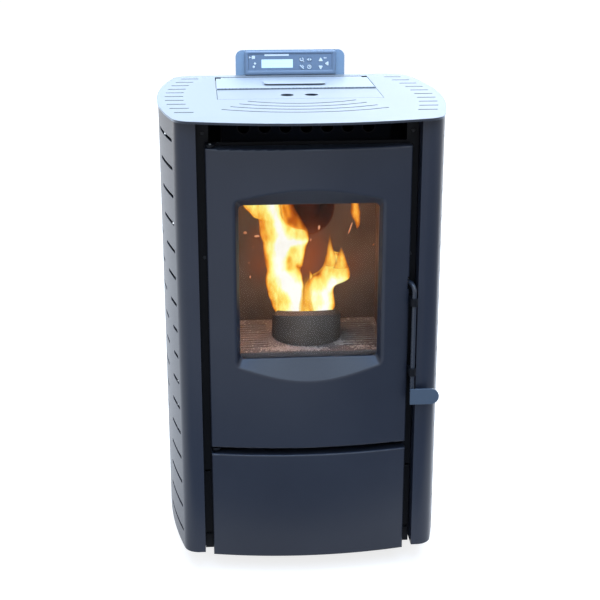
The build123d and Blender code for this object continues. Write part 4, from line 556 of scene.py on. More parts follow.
def stroke_heat(x, z, strokes):
    """The heat that a list of strokes adds at a point of a tongue."""
    total = 0.0
    for reach, gain, *path in strokes:
        nearest = 1e9
        for (x0, z0), (x1, z1) in zip(path, path[1:]):
            dx, dz = x1 - x0, z1 - z0
            t = min(max(((x - x0) * dx + (z - z0) * dz) / max(dx * dx + dz * dz, 1e-6), 0.0), 1.0)
            nearest = min(nearest, math.hypot(x - x0 - dx * t, z - z0 - dz * t))
        total += gain * math.exp(-(nearest / reach)**2)
    return total


# A tongue that reaches further than this to each side, in millimetres, grows no thicker.
THICKEST_REACH = 22.0
# Ripples on a tongue: how close they are across and along it, what parts those of its front from those of
# its back, and how much they move its face and its warmth.
RIPPLE_ACROSS, RIPPLE_ALONG, RIPPLE_APART = 0.08, 0.03, 3.0
RIPPLE_DEPTH, RIPPLE_WARMTH = 0.15, 0.04
# How soon a stroke gains its full heat inside the edge, and the least cover at the edge itself.
STROKE_RISE, EDGE_COVER = 1.6, 0.12


def flame_piece(name, rows, material, strokes=(), rings=60, sides=48, depth=0.8, body_heat=0.56,
                edge_reach=4.5, soft=1.6, strongest=1.0, fade_top=0.12):
    """One closed tongue: a stack of flattened rings, with the warmth and the cover of each point on it."""
    bm = bmesh.new()
    warmth, cover = fire_layers(bm)
    stack = []
    for ring in range(rings + 1):
        t = ring / rings
        z, left, right, y = spline_at(rows, t)
        reach = max(right - left, 0.6) / 2
        middle = (left + right) / 2
        thick = min(reach, THICKEST_REACH) * depth
        tip = min((1 - t) / fade_top, 1.0) if fade_top else 1.0
        ring_verts = []
        for side in range(sides):
            angle = 2 * math.pi * (side + 0.5) / sides
            x = middle + reach * math.cos(angle)
            face = math.copysign(RIPPLE_APART, math.sin(angle))
            wave = noise.noise(Vector((x * RIPPLE_ACROSS, z * RIPPLE_ALONG, face)))
            bulge = thick * math.sin(angle) * (1 + RIPPLE_DEPTH * wave)
            vert = bm.verts.new(Vector((x, y + bulge, z)) * MM)
            edge = reach * (1 - abs(math.cos(angle)))
            inside = 1 - math.exp(-edge / edge_reach)
            drawn = stroke_heat(x, z, strokes) * min(inside * STROKE_RISE, 1.0)
            vert[warmth] = min(max(body_heat * inside + drawn + RIPPLE_WARMTH * wave, 0.0), 1.0)
            vert[cover] = strongest * tip * min(EDGE_COVER + 1 - math.exp(-edge / soft), 1.0)
            ring_verts.append(vert)
        stack.append(ring_verts)
    join_rows(bm, stack, capped=True)
    add_to_fire(name, bm, material)


def glow_pillow(name, centre, half_width, half_height, spots, half_depth=5.0, rings=28, sides=56):
    """A thin closed lens of glowing haze behind the tongues, densest at its spots (x, z, reach, cover) in
    mm: a painted glow of the fire between and round the tongues.
    """
    sheet_gap, densest, warmth_gain = 0.05, 0.8, 1.5
    bm = bmesh.new()
    warmth, cover = fire_layers(bm)
    for face in (-1, 1):
        rows = []
        for ring in range(rings + 1):
            out = ring / rings
            y = centre[1] + face * half_depth * math.sqrt(max(1 - out * out, 0.0))
            if ring < rings:
                y += sheet_gap * face
            row = []
            for side in range(sides):
                angle = 2 * math.pi * side / sides
                x = centre[0] + half_width * out * math.cos(angle)
                z = centre[2] + half_height * out * math.sin(angle)
                vert = bm.verts.new(Vector((x, y, z)) * MM)
                total = sum(c * math.exp(-((x - sx)**2 + (z - sz)**2) / r**2) for sx, sz, r, c in spots)
                vert[cover] = min(total, densest) * (1 - out**6)
                vert[warmth] = min(total * warmth_gain, 1.0)
                row.append(vert)
            rows.append(row)
        join_rows(bm, rows)
    add_to_fire(name, bm, flame_glow)


SPARK_Y = -118


def spark(name, x, z, length, width, lean, strongest):
    """A glowing grain that flies up from the fire."""
    bm = bmesh.new()
    bmesh.ops.create_icosphere(bm, subdivisions=2, radius=1.0)
    warmth, cover = fire_layers(bm)
    for vert in bm.verts:
        vert[warmth] = 0.5 + 0.5 * vert.co.z
        vert[cover] = strongest
        up = vert.co.z * length / 2
        vert.co = Vector((x + vert.co.x * width / 2 + up * lean, SPARK_Y + vert.co.y * width / 2,
                          z + up)) * MM
    add_to_fire(name, bm, spark_glow)


flame_piece("flame_left", left_flame, flame, left_strokes, rings=130, sides=80, fade_top=0.0)
flame_piece("flame_right", right_flame, flame, right_strokes, rings=80, sides=64, fade_top=0.06)
flame_piece("flame_spike", spike_flame, flame, [(5, 0.2, (15, 500), (13, 535))], rings=30, sides=32,
            body_heat=0.5, edge_reach=3.0, fade_top=0.1)
flame_piece("flame_tall_tip", tall_tip, flame, rings=30, sides=32, body_heat=0.44, edge_reach=3.5, soft=3.0,
            strongest=0.85, fade_top=0.7)
flame_piece("flame_short_tip", short_tip, flame, rings=24, sides=32, body_heat=0.46, edge_reach=3.5,
            soft=2.5, strongest=0.9, fade_top=0.5)
flame_piece("flame_gap", gap_flame, flame, [(6, 0.06, (2, 470), (2, 520))], rings=36, sides=32,
            body_heat=0.3, edge_reach=0.6, soft=7.0, strongest=0.75, fade_top=0.6)
flame_piece("flame_veil", veil_flame, flame_veil, veil_strokes, rings=48, sides=56, body_heat=0.2,
            edge_reach=3.0, soft=9.0, strongest=0.9, fade_top=0.3)
flame_piece("flame_loose", loose_flame, flame, rings=36, sides=32, body_heat=0.42, edge_reach=6.0, soft=3.0,
            strongest=0.9, fade_top=0.15)
glow_pillow("flame_glow", (5, -92, 565), 122, 118,
            [(18, 575, 28, 0.28), (8, 540, 28, 0.34), (-80, 545, 30, 0.22), (-86, 600, 26, 0.16),
             (92, 540, 26, 0.1), (20, 612, 24, 0.12)])
# Sparks in millimetres: (x, z, length, width, lean, strength).
SPARKS = ((28, 624, 9, 3.6, 0.1, 0.95), (85, 622, 22, 2.6, 0.32, 0.8), (13, 601, 5, 3, 0.2, 0.7),
          (-98, 533, 6, 2.2, 0.0, 0.6), (128, 590, 4, 2.2, 0.6, 0.5), (-106, 617, 5, 7, 0.0, 0.4),
          (-85, 610, 3.5, 10, 0.0, 0.6), (-100, 560, 2, 4, 0.0, 0.3), (-92, 590, 3, 2, 0.3, 0.3))
for number, row in enumerate(SPARKS, 1):
    spark(f"spark_{number}", *row)


# ======== Repeated small pieces, by Geometry Nodes ========

def make_scatter_group():
    """Instances of a template on the given points, turned to each point's facing, then made real."""
    tree = bpy.data.node_groups.new("scatter_pieces", "GeometryNodeTree")
    for socket, kind in {"Points": "Geometry", "Template": "Object", "Seed": "Int", "Smallest": "Float",
                         "Largest": "Float", "Turn": "Float", "Tilt": "Float", "Finish": "Material"}.items():
        tree.interface.new_socket(socket, in_out="INPUT", socket_type=f"NodeSocket{kind}")
    tree.interface.new_socket("Pieces", in_out="OUTPUT", socket_type="NodeSocketGeometry")
    s = Shader(tree)
    given = s.add("NodeGroupInput").outputs
    out = s.add("NodeGroupOutput")
    facing = s.add("GeometryNodeInputNamedAttribute", {"Name": "facing"},
                   data_type="FLOAT_VECTOR").outputs["Attribute"]
    aligned = s.add("FunctionNodeAlignRotationToVector", {"Vector": facing}, axis="Z").outputs[0]
    index = s.add("GeometryNodeInputIndex").outputs[0]

    def chance(low, high, salt):
        """A random number for each point; the salt keeps the draws apart."""
        number = s.math("ADD", s.math("MULTIPLY", index, 3.0), float(salt))
        return s.add("FunctionNodeRandomValue", {2: low, 3: high, 7: number, 8: given["Seed"]},
                     data_type="FLOAT").outputs[1]

    angles = s.add("ShaderNodeCombineXYZ", {"X": chance(0.0, given["Tilt"], 1),
                                            "Z": chance(0.0, given["Turn"], 2)})
    size = chance(given["Smallest"], given["Largest"], 3)
    own = s.add("FunctionNodeEulerToRotation", {0: angles.outputs[0]}).outputs[0]
    rotation = s.add("FunctionNodeRotateRotation", {0: aligned, 1: own}, rotation_space="LOCAL").outputs[0]
    template = s.add("GeometryNodeObjectInfo", {"Object": given["Template"]}).outputs["Geometry"]
    points = s.add("GeometryNodeMeshToPoints", {"Mesh": given["Points"]}).outputs[0]
    placed = s.add("GeometryNodeInstanceOnPoints", {"Points": points, "Instance": template,
                                                    "Rotation": rotation, "Scale": size}).outputs[0]
    real = s.add("GeometryNodeRealizeInstances", {0: placed}).outputs[0]
    dressed = s.add("GeometryNodeSetMaterial", {"Geometry": real, "Material": given["Finish"]}).outputs[0]
    s.feed(out, "Pieces", dressed)
    return tree


scatter_group = make_scatter_group()
ANY_TURN = 6.283


def scatter(name, spots, template_mesh, body, material, seed, sizes=(1.0, 1.0), tilt=0.0):
    """Real copies of a small mesh at spots of (place, facing), as one piece on one body."""
    points = bpy.data.meshes.new(f"{name}_points")
    points.from_pydata([place for place, _ in spots], [], [])
    facing = points.attributes.new("facing", "FLOAT_VECTOR", "POINT")
    for item, (_, direction) in zip(facing.data, spots):
        item.vector = direction
    holder = put_in_scene(f"{name}_points", points)
    template = put_in_scene(f"{name}_template", template_mesh)
    modifier = holder.modifiers.new("scatter", "NODES")
    values = {"Template": template, "Seed": seed, "Smallest": sizes[0], "Largest": sizes[1],
              "Turn": ANY_TURN, "Tilt": tilt, "Finish": material}
    modifier.node_group = scatter_group
    for item in scatter_group.interface.items_tree:
        if item.in_out == "INPUT" and item.name in values:
            modifier[item.identifier] = values[item.name]
    graph = bpy.context.evaluated_depsgraph_get()
    mesh = bpy.data.meshes.new_from_object(holder.evaluated_get(graph), depsgraph=graph)
    mesh.name = name
    for item in (holder, template):
        bpy.data.objects.remove(item)
    if "facing" in mesh.attributes:
        mesh.attributes.remove(mesh.attributes["facing"])
    return add_object(name, mesh, body)


def screw_mesh(radius, height):
    """A domed pan head with a cross recess; its foot is at 0 and it faces +Z."""
    rings, sides = 12, 32
    dome_power, rim_share = 2.6, 0.12
    arm_half_width, arm_reach, arm_depth, arm_slope = 0.13, 0.6, 0.5, 0.9
    bm = bmesh.new()
    stack = []
    for ring in range(rings + 1):
        out = ring / rings
        row = []
        for side in range(sides):
            angle = 2 * math.pi * side / sides
            x, y = out * math.cos(angle), out * math.sin(angle)
            narrow, wide = sorted((abs(x), abs(y)))
            dome = height * math.sqrt(max(1 - out**dome_power, 0.0)) if ring < rings else height * rim_share
            in_cross = narrow < arm_half_width and wide < arm_reach
            depth = arm_depth * height * (1 - wide * arm_slope) if in_cross else 0.0
            row.append(bm.verts.new((x * radius, y * radius, dome - depth)))
        stack.append(row)
    stack.append([bm.verts.new((v.co.x, v.co.y, 0.0)) for v in stack[-1]])
    join_rows(bm, stack)
    bm.faces.new(stack[-1])
    return mesh_from("screw_template", bm)


def screw_spots():
    """The place and facing of every screw of the CAD, from its separate solids."""
    node = nodes["cabinet_screws"]
    bm = bmesh.new()
    bm.from_mesh(node.data)
    bm.transform(node.matrix_world)
    bmesh.ops.remove_doubles(bm, verts=bm.verts, dist=1e-6)
    spots, seen = [], set()
    for start in bm.verts:
        if start in seen:
            continue
        island, waiting = [], [start]
        seen.add(start)
        while waiting:
            vert = waiting.pop()
            island.append(vert.co.copy())
            for edge in vert.link_edges:
                other = edge.other_vert(vert)
                if other not in seen:
                    seen.add(other)
                    waiting.append(other)
        low = [min(co[axis] for co in island) for axis in range(3)]
        high = [max(co[axis] for co in island) for axis in range(3)]
        middle = [(a + b) / 2 for a, b in zip(low, high)]
        toward = -1 if middle[1] < 0 else 1
        middle[1] = high[1] if toward < 0 else low[1]
        spots.append((tuple(middle), (0.0, float(toward), 0.0)))
    bm.free()
    return spots


SCREW_RADIUS, SCREW_HEIGHT = 3.2 * MM, 1.95 * MM
screws = scatter("cabinet_screw_heads", screw_spots(), screw_mesh(SCREW_RADIUS, SCREW_HEIGHT), "cabinet",
                 finish["screw_black"], seed=4)
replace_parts(screws, "cabinet_screws")

KNUCKLES = 15
COVER_HINGE_Y = 55.0 * MM
PLATE_TOP_Z = 848.0 * MM
SEAM_PROFILE = ((2.45, -0.45), (2.7, -0.4), (2.7, 0.4), (2.45, 0.45))
SEAMS_ON_KNUCKLE = (0.2, 0.5, 0.8)


def seam_mesh():
    """A thin dark ring for a seam of the cover's hinge; its axis is Z."""
    bm = bmesh.new()
    join_rows(bm, turned_rows(bm, SEAM_PROFILE, 24), closed=True)
    return mesh_from("seam_template", bm)


def hinge_seams():
    """Fine seams along the cover's hinge, on the knuckles of the cover and on those of the fixed leaf."""
    low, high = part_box("cover_hinge_leaf")
    length = (high.x - low.x) / KNUCKLES
    for name, body, first in (("cover_hinge_seams", "service_cover_body", 1),
                              ("leaf_hinge_seams", "cabinet", 0)):
        spots = [((low.x + (index + part) * length, COVER_HINGE_Y, PLATE_TOP_Z), (1.0, 0.0, 0.0))
                 for index in range(first, KNUCKLES, 2) for part in SEAMS_ON_KNUCKLE]
        scatter(name, spots, seam_mesh(), body, finish["screw_black"], seed=9)


hinge_seams()

PELLET_PROFILE = ((1.5, -6.5), (2.4, -6.2), (3.0, -5.6), (3.1, 0), (3.0, 5.6), (2.4, 6.2), (1.5, 6.5))


def pellet_mesh():
    """A pressed wood pellet with rounded ends, about 6 mm across and 13 mm long."""
    bm = bmesh.new()
    join_rows(bm, turned_rows(bm, PELLET_PROFILE, 10), capped=True)
    return mesh_from("pellet_template", bm)


def grain_mesh():
    """A small uneven grain of ash or clinker, a little flattened."""
    unevenness, closeness, flatness = 0.5, 2.3, 0.6
    bm = bmesh.new()
    bmesh.ops.create_icosphere(bm, subdivisions=1, radius=1.0)
    for vert in bm.verts:
        vert.co *= (1 + unevenness * noise.noise(vert.co * closeness)) * MM
        vert.co.z *= flatness
    return mesh_from("grain_template", bm, smooth=False)


# Steps of a sequence that fills a square evenly, and how far each seed shifts it.
EVEN_STEPS = (0.754877666, 0.569840291)
SEED_SHIFTS = (0.137, 0.311)


def scatter_places(seed, count, low, high, keep):
    """Even random places in a rectangle, as a fixed list; keep(x, y) turns the unwanted ones away."""
    places = []
    index, most_tries = 0, 40 * count
    while len(places) < count and index < most_tries:
        index += 1
        u, v = ((step * index + seed * shift) % 1.0 for step, shift in zip(EVEN_STEPS, SEED_SHIFTS))
        x, y = low[0] + (high[0] - low[0]) * u, low[1] + (high[1] - low[1]) * v
        if keep(x, y):
            places.append((x, y))
    return places


def from_pot(x, y):
    """The distance from the pot's axis."""
    return math.hypot(x - POT_X, y - POT_Y)


# The pot's bowl and seat, and the layers of pellets in it, in millimetres.
POT_INSIDE, POT_SEAT = 41.0, 65.0
EMBER_LAYERS, EMBERS_IN_LAYER = 3, 46
EMBER_Z, EMBER_LAYER_RISE = 436, 5
HEAP_HEIGHT, HEAP_REACH = 6, 45
EMBER_UNEVEN, EMBER_LEAN, EMBER_RISE = 1.5, 3, 0.35


def in_pot(x, y):
    return from_pot(x, y) < POT_INSIDE


def make_embers():
    """Glowing pellets in loose layers in the pot, highest in its middle."""
    spots = []
    for layer in range(EMBER_LAYERS):
        for x, y in scatter_places(5 + layer, EMBERS_IN_LAYER, (-40, -175), (48, -85), in_pot):
            heap = HEAP_HEIGHT * (1 - (from_pot(x, y) / HEAP_REACH)**2)
            uneven = EMBER_UNEVEN * noise.noise(Vector((x, y, layer)) * 0.21)
            height = EMBER_Z + layer * EMBER_LAYER_RISE + heap + uneven
            lean = Vector((noise.noise(Vector((x, y, 2.0)) * 0.37) * EMBER_LEAN,
                           noise.noise(Vector((y, x, 5.0)) * 0.31) * EMBER_LEAN, EMBER_RISE))
            spots.append(((x * MM, y * MM, height * MM), tuple(lean.normalized())))
    scatter("pot_embers", spots, pellet_mesh(), "burn_pot_body", finish["ember"], seed=11,
            sizes=(0.8, 1.1), tilt=0.6)


make_embers()

# Ash on the floor grate, in millimetres: the grate's top, its slots and the heaps (x, y, reach, likelihood).
GRATE_TOP_Z = 423.5
SLOTS_FROM_X, SLOTS_TO_X = 66, 134
SLOTS_FROM_Y, SLOTS_TO_Y = -193, -67
SLOT_PITCH, RIB_START, RIB_END = 12, 4.5, 7.5
ASH_HEAPS = ((74, -176, 16, 0.9), (66, -182, 12, 0.6), (-60, -200, 26, 0.36), (-20, -203, 26, 0.5),
             (18, -208, 18, 0.4), (100, -196, 26, 0.36))
# How strongly a heap is squeezed from front to back, how patchy the ash lies, and the likelihood below which
# the floor mostly stays bare.
HEAP_SQUEEZE, ASH_PATCHES, ASH_LEAST = 2.5, 0.9, 0.52


def on_floor(x, y):
    """True on the solid parts of the floor grate: not in a slot and not under the pot."""
    if from_pot(x, y) < POT_SEAT:
        return False
    if SLOTS_FROM_X < abs(x) < SLOTS_TO_X and SLOTS_FROM_Y < y < SLOTS_TO_Y:
        return RIB_START < (y - POT_Y) % SLOT_PITCH < RIB_END
    return True


def ash_keep(x, y):
    """Ash lies in loose heaps round the pot's foot and along the front, and more thinly on the ribs."""
    if not on_floor(x, y):
        return False
    chance = sum(likely * math.exp(-((x - hx)**2 + HEAP_SQUEEZE * (y - hy)**2) / reach**2)
                 for hx, hy, reach, likely in ASH_HEAPS)
    return ASH_PATCHES * noise.noise(Vector((x * 0.9, y * 1.1, 3.0))) + ASH_LEAST < chance


ash_spots = [((x * MM, y * MM, GRATE_TOP_Z * MM), (0.0, 0.0, 1.0))
             for x, y in scatter_places(3, 1200, (-138, -216), (138, -44), ash_keep)]
scatter("ash_grains", ash_spots, grain_mesh(), "cabinet", finish["ash"], seed=21,
        sizes=(0.5, 1.8), tilt=0.5)


# ======== Braided gasket of the door ========

def rounded_rectangle(x0, x1, z0, z1, radius, steps=6):
    """The corners of a rounded rectangle, counter-clockwise from the lower right."""
    loop = []
    for cx, cz, start in ((x1 - radius, z0 + radius, -90), (x1 - radius, z1 - radius, 0),
                          (x0 + radius, z1 - radius, 90), (x0 + radius, z0 + radius, 180)):
        for step in range(steps + 1):
            angle = math.radians(start + 90 * step / steps)
            loop.append((cx + radius * math.cos(angle), cz + radius * math.sin(angle)))
    return loop


def spaced_loop(loop, step):
    """A closed polyline sampled again at an even step: (x, z) and its distance from the start."""
    spots, walked, target = [], 0.0, 0.0
    for (x0, z0), (x1, z1) in zip(loop, loop[1:] + loop[:1]):
        length = math.hypot(x1 - x0, z1 - z0)
        while target < walked + length:
            t = (target - walked) / length
            spots.append((x0 + (x1 - x0) * t, z0 + (z1 - z0) * t, target))
            target += step
        walked += length
    return spots, walked


# The braid in millimetres: how far its middle lies inside the gasket's edge, the corners of its path, the
# step between its rings and the length of one turn of its strands, then the strands themselves.
BRAID_INSET, BRAID_CORNER, BRAID_STEP, BRAID_TURN = 5, 6, 3.0, 27.0
STRANDS, STRAND_SIDES = 3, 8
STRAND_HALF_WIDTH, STRAND_HALF_DEPTH = 2.4, 2.05
STRAND_SWAY, STRAND_ROOM = 2.5, 2.1


def make_gasket():
    """Fibre strands laid round each other along the gasket's groove."""
    low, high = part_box("door_gasket")
    x0, z0, x1, z1 = low.x / MM, low.z / MM, high.x / MM, high.z / MM
    middle_y = (low.y + high.y) / 2 / MM
    half_depth = (high.y - low.y) / 2 / MM
    spots, total = spaced_loop(rounded_rectangle(x0 + BRAID_INSET, x1 - BRAID_INSET, z0 + BRAID_INSET,
                                                 z1 - BRAID_INSET, BRAID_CORNER), BRAID_STEP)
    turns = round(total / BRAID_TURN)
    bm = bmesh.new()
    for strand in range(STRANDS):
        rows = []
        for index, (x, z, walked) in enumerate(spots):
            nx, nz, _ = spots[(index + 1) % len(spots)]
            px, pz, _ = spots[index - 1]
            along = Vector((nx - px, 0.0, nz - pz)).normalized()
            outward = Vector((along.z, 0.0, -along.x))
            phase = 2 * math.pi * (turns * walked / total + strand / STRANDS)
            centre = Vector((x, middle_y, z)) + outward * STRAND_SWAY * math.cos(phase)
            centre.y += (half_depth - STRAND_ROOM) * math.sin(phase)
            row = []
            for side in range(STRAND_SIDES):
                angle = 2 * math.pi * side / STRAND_SIDES
                spot = centre + outward * STRAND_HALF_WIDTH * math.cos(angle)
                row.append(bm.verts.new((spot + Vector((0, STRAND_HALF_DEPTH * math.sin(angle), 0))) * MM))
            rows.append(row)
        join_rows(bm, rows, closed=True)
    return add_shape("door_gasket_braid", bm, "door", finish["rope"])


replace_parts(make_gasket(), "door_gasket")


# ======== Controller face: raised rim, strip, marks and key icons ========

def prism(bm, loop, front_y, back_y, inset):
    """A closed flat piece with a small bevel round its front, from (x, z) corners in millimetres."""
    cx = sum(x for x, _ in loop) / len(loop)
    cz = sum(z for _, z in loop) / len(loop)
    rows = []
    for y, pull in ((back_y, 0.0), (front_y + inset, 0.0), (front_y, inset)):
        row = []
        for x, z in loop:
            k = 1 - pull / max(math.hypot(x - cx, z - cz), 1e-6)
            row.append(bm.verts.new(Vector((cx + (x - cx) * k, y, cz + (z - cz) * k)) * MM))
        rows.append(row)
    join_rows(bm, rows, capped=True)


def capsule(x0, z0, x1, z1, width, steps=5):
    """The outline of a short stroke with round ends."""
    heading = math.atan2(z1 - z0, x1 - x0)
    loop = []
    for cx, cz, start in ((x1, z1, heading - math.pi / 2), (x0, z0, heading + math.pi / 2)):
        for step in range(steps + 1):
            angle = start + math.pi * step / steps
            loop.append((cx + width / 2 * math.cos(angle), cz + width / 2 * math.sin(angle)))
    return loop


def arc_strokes(cx, cz, radius, start, end, width, steps=12):
    """Short strokes that follow an arc, in degrees."""
    strokes = []
    for step in range(steps):
        a, b = (math.radians(start + (end - start) * (step + k) / steps) for k in (0, 1))
        strokes.append(capsule(cx + radius * math.cos(a), cz + radius * math.sin(a),
                               cx + radius * math.cos(b), cz + radius * math.sin(b), width))
    return strokes


STROKE_STEP = 0.005


def flat_piece(name, loops, front_y, back_y, body, material, inset=0.12):
    """Flat shapes as one piece; each front lies a hair before the last one, so that strokes may cross."""
    bm = bmesh.new()
    for index, loop in enumerate(loops):
        prism(bm, loop, front_y - STROKE_STEP * index, back_y, inset)
    add_shape(name, bm, body, material, smooth=False)


def bezel_rim():
    """A bevelled raised rim round the controller's face."""
    outer = rounded_rectangle(-91, 91, 849, 896, 3)
    lip = rounded_rectangle(-89.8, 89.8, 850.2, 894.8, 2.6)
    inner = rounded_rectangle(-84.6, 84.2, 857.4, 891.6, 2.2)
    floor = rounded_rectangle(-83.6, 83.2, 858.6, 890.8, 1.8)
    bm = bmesh.new()
    rows = [[bm.verts.new(Vector((x, y, z)) * MM) for x, z in loop]
            for loop, y in ((outer, 228.9), (outer, 228.3), (lip, 227.3), (inner, 227.3), (floor, 228.9))]
    join_rows(bm, rows, closed=True)
    add_shape("controller_rim", bm, "cabinet", finish["controller_blue"])


MARK_FRONT, MARK_BACK = 228.5, 228.95
PIPE_MARK = [[(-83.2, 881.6), (-78.9, 884.1), (-83.2, 886.6)], capsule(-79.4, 884.1, -77.4, 884.1, 1.0),
             rounded_rectangle(-77.2, -70.6, 881.2, 887.2, 0.9)]
DOT_MARKS = [rounded_rectangle(left, left + 2.5, 880.4, 883.0, 0.5) for left in (66.9, 70.2)]
LAMP_RIMS = [
    [(-71.0, 874.8), (-73.8, 872.0), (-71.0, 869.2), (-68.2, 872.0)],
    [(-73.5 + 2.4 * math.cos(a * math.pi / 8), 865.4 + 2.4 * math.sin(a * math.pi / 8)) for a in range(16)]]

# Flat pieces of the face: name, outlines, front and back y in millimetres, and slot.
FACE_PIECES = (
    ("controller_strip", [rounded_rectangle(-52, -3, 886.4, 890.2, 1.2)], MARK_FRONT, MARK_BACK,
     "pale_plastic"),
    ("controller_marks", PIPE_MARK + DOT_MARKS, MARK_FRONT, MARK_BACK, "pale_plastic"),
    ("controller_lamp_rims", LAMP_RIMS, 228.4, 228.85, "pale_plastic"),
    # A thin black strip under the bezel's lower edge: a painted shadow of the raised face.
    ("controller_seal", [rounded_rectangle(-90, -38, 847.9, 849.2, 0.4)], 229.6, 234.9, "black_plastic"),
)
bezel_rim()
for name, outlines, front_y, back_y, slot in FACE_PIECES:
    flat_piece(name, outlines, front_y, back_y, "cabinet", finish[slot])

# Generic icons on the round keys: for each key its middle and the strokes of its icon, in millimetres.
KEY_FACE = 228.0
ICON_SCALE, ICON_HEIGHT, ICON_LIFT, ICON_BEVEL = 1.3, 0.25, 0.01, 0.08
KEY_ICONS = {
    "key_1": (23, 879, arc_strokes(22.6, 879.4, 2.4, -215, 55, 1.5)
              + [capsule(24.6, 877.4, 26.2, 875.8, 1.4)]),
    "key_2": (38, 879, [[(34.0, 879.0), (37.2, 876.9), (37.2, 881.1)],
                        [(42.0, 879.0), (38.8, 881.1), (38.8, 876.9)]]),
    "key_3": (23, 864.4, [capsule(20.6, 866.8, 25.6, 862.0, 1.8), capsule(23.6, 866.8, 25.8, 864.8, 1.2)]),
    "key_4": (38, 864.4, arc_strokes(38, 864.4, 2.8, 0, 360, 1.4) + [capsule(38, 864.4, 38, 866.2, 1.0),
                                                                     capsule(38, 864.4, 39.4, 864.4, 1.0)]),
}
for key_name, (cx, cz, strokes) in KEY_ICONS.items():
    icon = [[(cx + (x - cx) * ICON_SCALE, cz + (z - cz) * ICON_SCALE) for x, z in loop] for loop in strokes]
    flat_piece(f"{key_name}_icon", icon, KEY_FACE - ICON_HEIGHT, KEY_FACE - ICON_LIFT, f"{key_name}_body",
               finish["key_print"], ICON_BEVEL)


def pin_cap():
    """A domed end on the upper hinge pin of the door."""
    radius, height, sunk, from_front = 0.003, 0.0022, 0.0001, 0.0065
    rings, sides = 6, 20
    low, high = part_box("hinge_brackets")
    place = ((low.x + high.x) / 2, low.y + from_front, high.z)
    bm = bmesh.new()
    rows = []
    for ring in range(rings + 1):
        rise = math.pi / 2 * ring / rings
        rows.append([bm.verts.new((place[0] + radius * math.cos(rise) * math.cos(2 * math.pi * a / sides),
                                   place[1] + radius * math.cos(rise) * math.sin(2 * math.pi * a / sides),
                                   place[2] + height * math.sin(rise) - sunk)) for a in range(sides)])
    join_rows(bm, rows)
    bm.faces.new(list(reversed(rows[0])))
    add_shape("door_hinge_pin_cap", bm, "cabinet", finish["steel"])


pin_cap()


# ======== Stage: floor, light and camera ========

CAMERA_PLACE = (-0.1774, -2.3941, 1.2391)
CAMERA_YAW = math.radians(4.29)
CAMERA_PITCH = math.radians(18.25)
CAMERA_LENS, CAMERA_SENSOR = 78.2, 36.0


def make_camera():
    data = bpy.data.cameras.new("camera")
    data.lens = CAMERA_LENS
    data.sensor_width = CAMERA_SENSOR
    camera = put_in_scene("camera", data)
    camera.location = CAMERA_PLACE
    camera.rotation_euler = (math.pi / 2 - CAMERA_PITCH, 0.0, -CAMERA_YAW)
    bpy.context.scene.camera = camera


def make_world():
    """Soft daylight; rays from the camera, a reflection or glass meet plain white."""
    world = bpy.data.worlds.new("studio")
    world.use_nodes = True
    world.node_tree.nodes.clear()
    s = Shader(world.node_tree)
    path = s.add("ShaderNodeLightPath").outputs
    seen_rays = s.math("MAXIMUM", s.math("MAXIMUM", path["Is Camera Ray"], path["Is Glossy Ray"]),
                       path["Is Transmission Ray"])
    seen = s.add("ShaderNodeBackground", {"Color": rgba(1, 1, 1), "Strength": 1.0})
    light = s.add("ShaderNodeBackground", {"Color": rgba(0.9, 0.95, 1.0), "Strength": 0.8})
    mixed = s.add("ShaderNodeMixShader", {0: seen_rays, 1: light.outputs[0], 2: seen.outputs[0]})
    s.add("ShaderNodeOutputWorld", {"Surface": mixed.outputs[0]})
    bpy.context.scene.world = world


def hide_from(item, *rays):
    """An object that these rays pass by."""
    for ray in rays:
        setattr(item, f"visible_{ray}", False)


def lay_sheet(name, corners, height, material):
    """A flat sheet of the stage, at a height over the ground."""
    mesh = bpy.data.meshes.new(name)
    mesh.from_pydata([(x, y, height) for x, y in corners], [], [tuple(range(len(corners)))])
    mesh.materials.append(material)
    return put_in_scene(name, mesh)


FLOOR_REACH = 30.0
FLOOR_WHITE, FLOOR_IN_GLOSS = 0.78, 0.62


def make_floor():
    """A pale floor that keeps the stove's shadow and meets the white backdrop."""
    material, s, out = new_material("floor_paper")
    matte = s.add("ShaderNodeBsdfDiffuse", {"Color": rgba(0.36, 0.36, 0.37)})
    path = s.add("ShaderNodeLightPath").outputs
    direct = s.math("MAXIMUM", path["Is Camera Ray"], path["Is Transmission Ray"])
    strength = s.math("ADD", s.math("MULTIPLY", direct, FLOOR_WHITE),
                      s.math("MULTIPLY", path["Is Glossy Ray"], FLOOR_IN_GLOSS))
    white = s.add("ShaderNodeEmission", {"Color": rgba(1, 1, 1), "Strength": strength})
    both = s.add("ShaderNodeAddShader", {0: matte.outputs[0], 1: white.outputs[0]})
    s.feed(out, "Surface", both.outputs[0])
    corners = [(FLOOR_REACH * x, FLOOR_REACH * y) for x, y in ((-1, -1), (1, -1), (1, 1), (-1, 1))]
    floor = lay_sheet("floor", corners, 0.0, material)


CARD_HEIGHT = 0.002


def make_card(name, corners, colour):
    """A card on the floor, out of the picture, that only the gloss of the object meets."""
    material, s, out = new_material(f"{name}_felt")
    s.feed(out, "Surface", s.add("ShaderNodeBsdfDiffuse", {"Color": rgba(*colour)}).outputs[0])
    card = lay_sheet(name, corners, CARD_HEIGHT, material)
    hide_from(card, "camera", "diffuse", "transmission", "shadow")


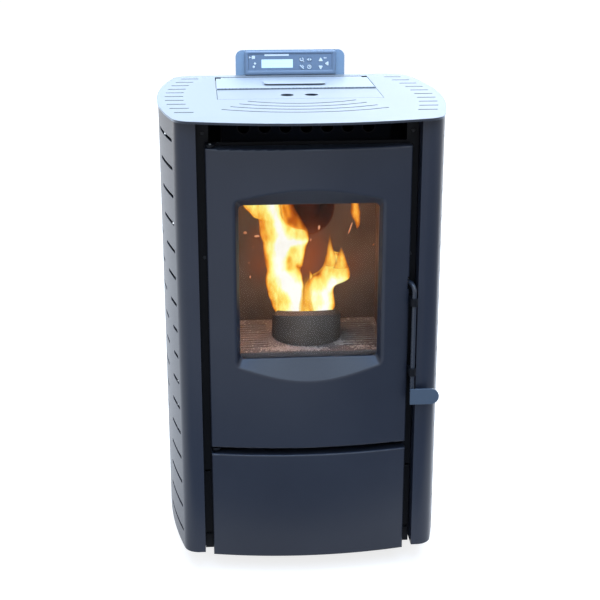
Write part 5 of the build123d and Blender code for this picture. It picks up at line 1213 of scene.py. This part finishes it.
# Soft boxes: name, place, target, width, height, radiance (what a mirror would show) and colour.
SOFT_BOXES = (
    ("back_sky_left", (-1.1, 4.2, 3.0), (-0.3, 0.0, 0.85), 2.8, 3.4, 2.5, (0.66, 0.83, 1.0)),
    ("back_sky_right", (1.7, 4.2, 3.0), (0.3, 0.0, 0.85), 2.8, 3.4, 3.9, (0.86, 0.94, 1.0)),
    ("front_strip", (0.0, -1.15, 3.2), (0.0, -0.25, 0.6), 3.6, 0.5, 9.0, (0.3, 0.55, 1.0)),
    ("left_wall", (-3.6, 2.6, 0.72), (-0.25, 0.0, 0.3), 2.0, 1.6, 3.9, (1.0, 0.98, 0.97)),
    ("top_sky", (0.2, 1.0, 3.3), (0.0, 0.1, 0.85), 4.5, 3.5, 3.0, (0.72, 0.86, 1.0)),
    ("front_sky", (0.1, -2.6, 2.9), (0.0, -0.25, 0.5), 3.0, 1.6, 3.4, (0.56, 0.76, 1.0)),
)


def make_soft_box(name, place, target, width, height, radiance, colour):
    data = bpy.data.lights.new(name, "AREA")
    data.shape = "RECTANGLE"
    data.size, data.size_y = width, height
    data.energy = radiance * math.pi * width * height
    data.color = colour
    light = put_in_scene(name, data)
    direction = Vector(target) - Vector(place)
    light.rotation_euler = direction.to_track_quat("-Z", "Y").to_euler()
    light.location = place
    hide_from(light, "camera")


def make_fire_light():
    """The light that the fire throws on the firebox; the flames themselves are what the eye sees."""
    data = bpy.data.lights.new("fire_glow", "POINT")
    data.energy = 3.6
    data.color = (1.0, 0.47, 0.23)
    data.shadow_soft_size = 0.05
    light = put_in_scene("fire_glow", data)
    light.location = (-0.03, -0.13, 0.585)
    hide_from(light, "camera", "glossy", "transmission")


make_world()
make_floor()
make_card("front_card", [(-0.9, -1.1), (-0.9, -0.42), (0.8, -0.5), (0.8, -1.1)], (0.26, 0.28, 0.33))
make_card("side_card", [(0.3, -3.6), (3.4, -3.6), (3.4, 0.7), (0.95, 0.7), (0.8, -0.8), (0.3, -1.1)],
          (0.22, 0.22, 0.24))
for soft_box in SOFT_BOXES:
    make_soft_box(*soft_box)
make_fire_light()
make_camera()
bpy.context.scene.view_settings.view_transform = "Standard"
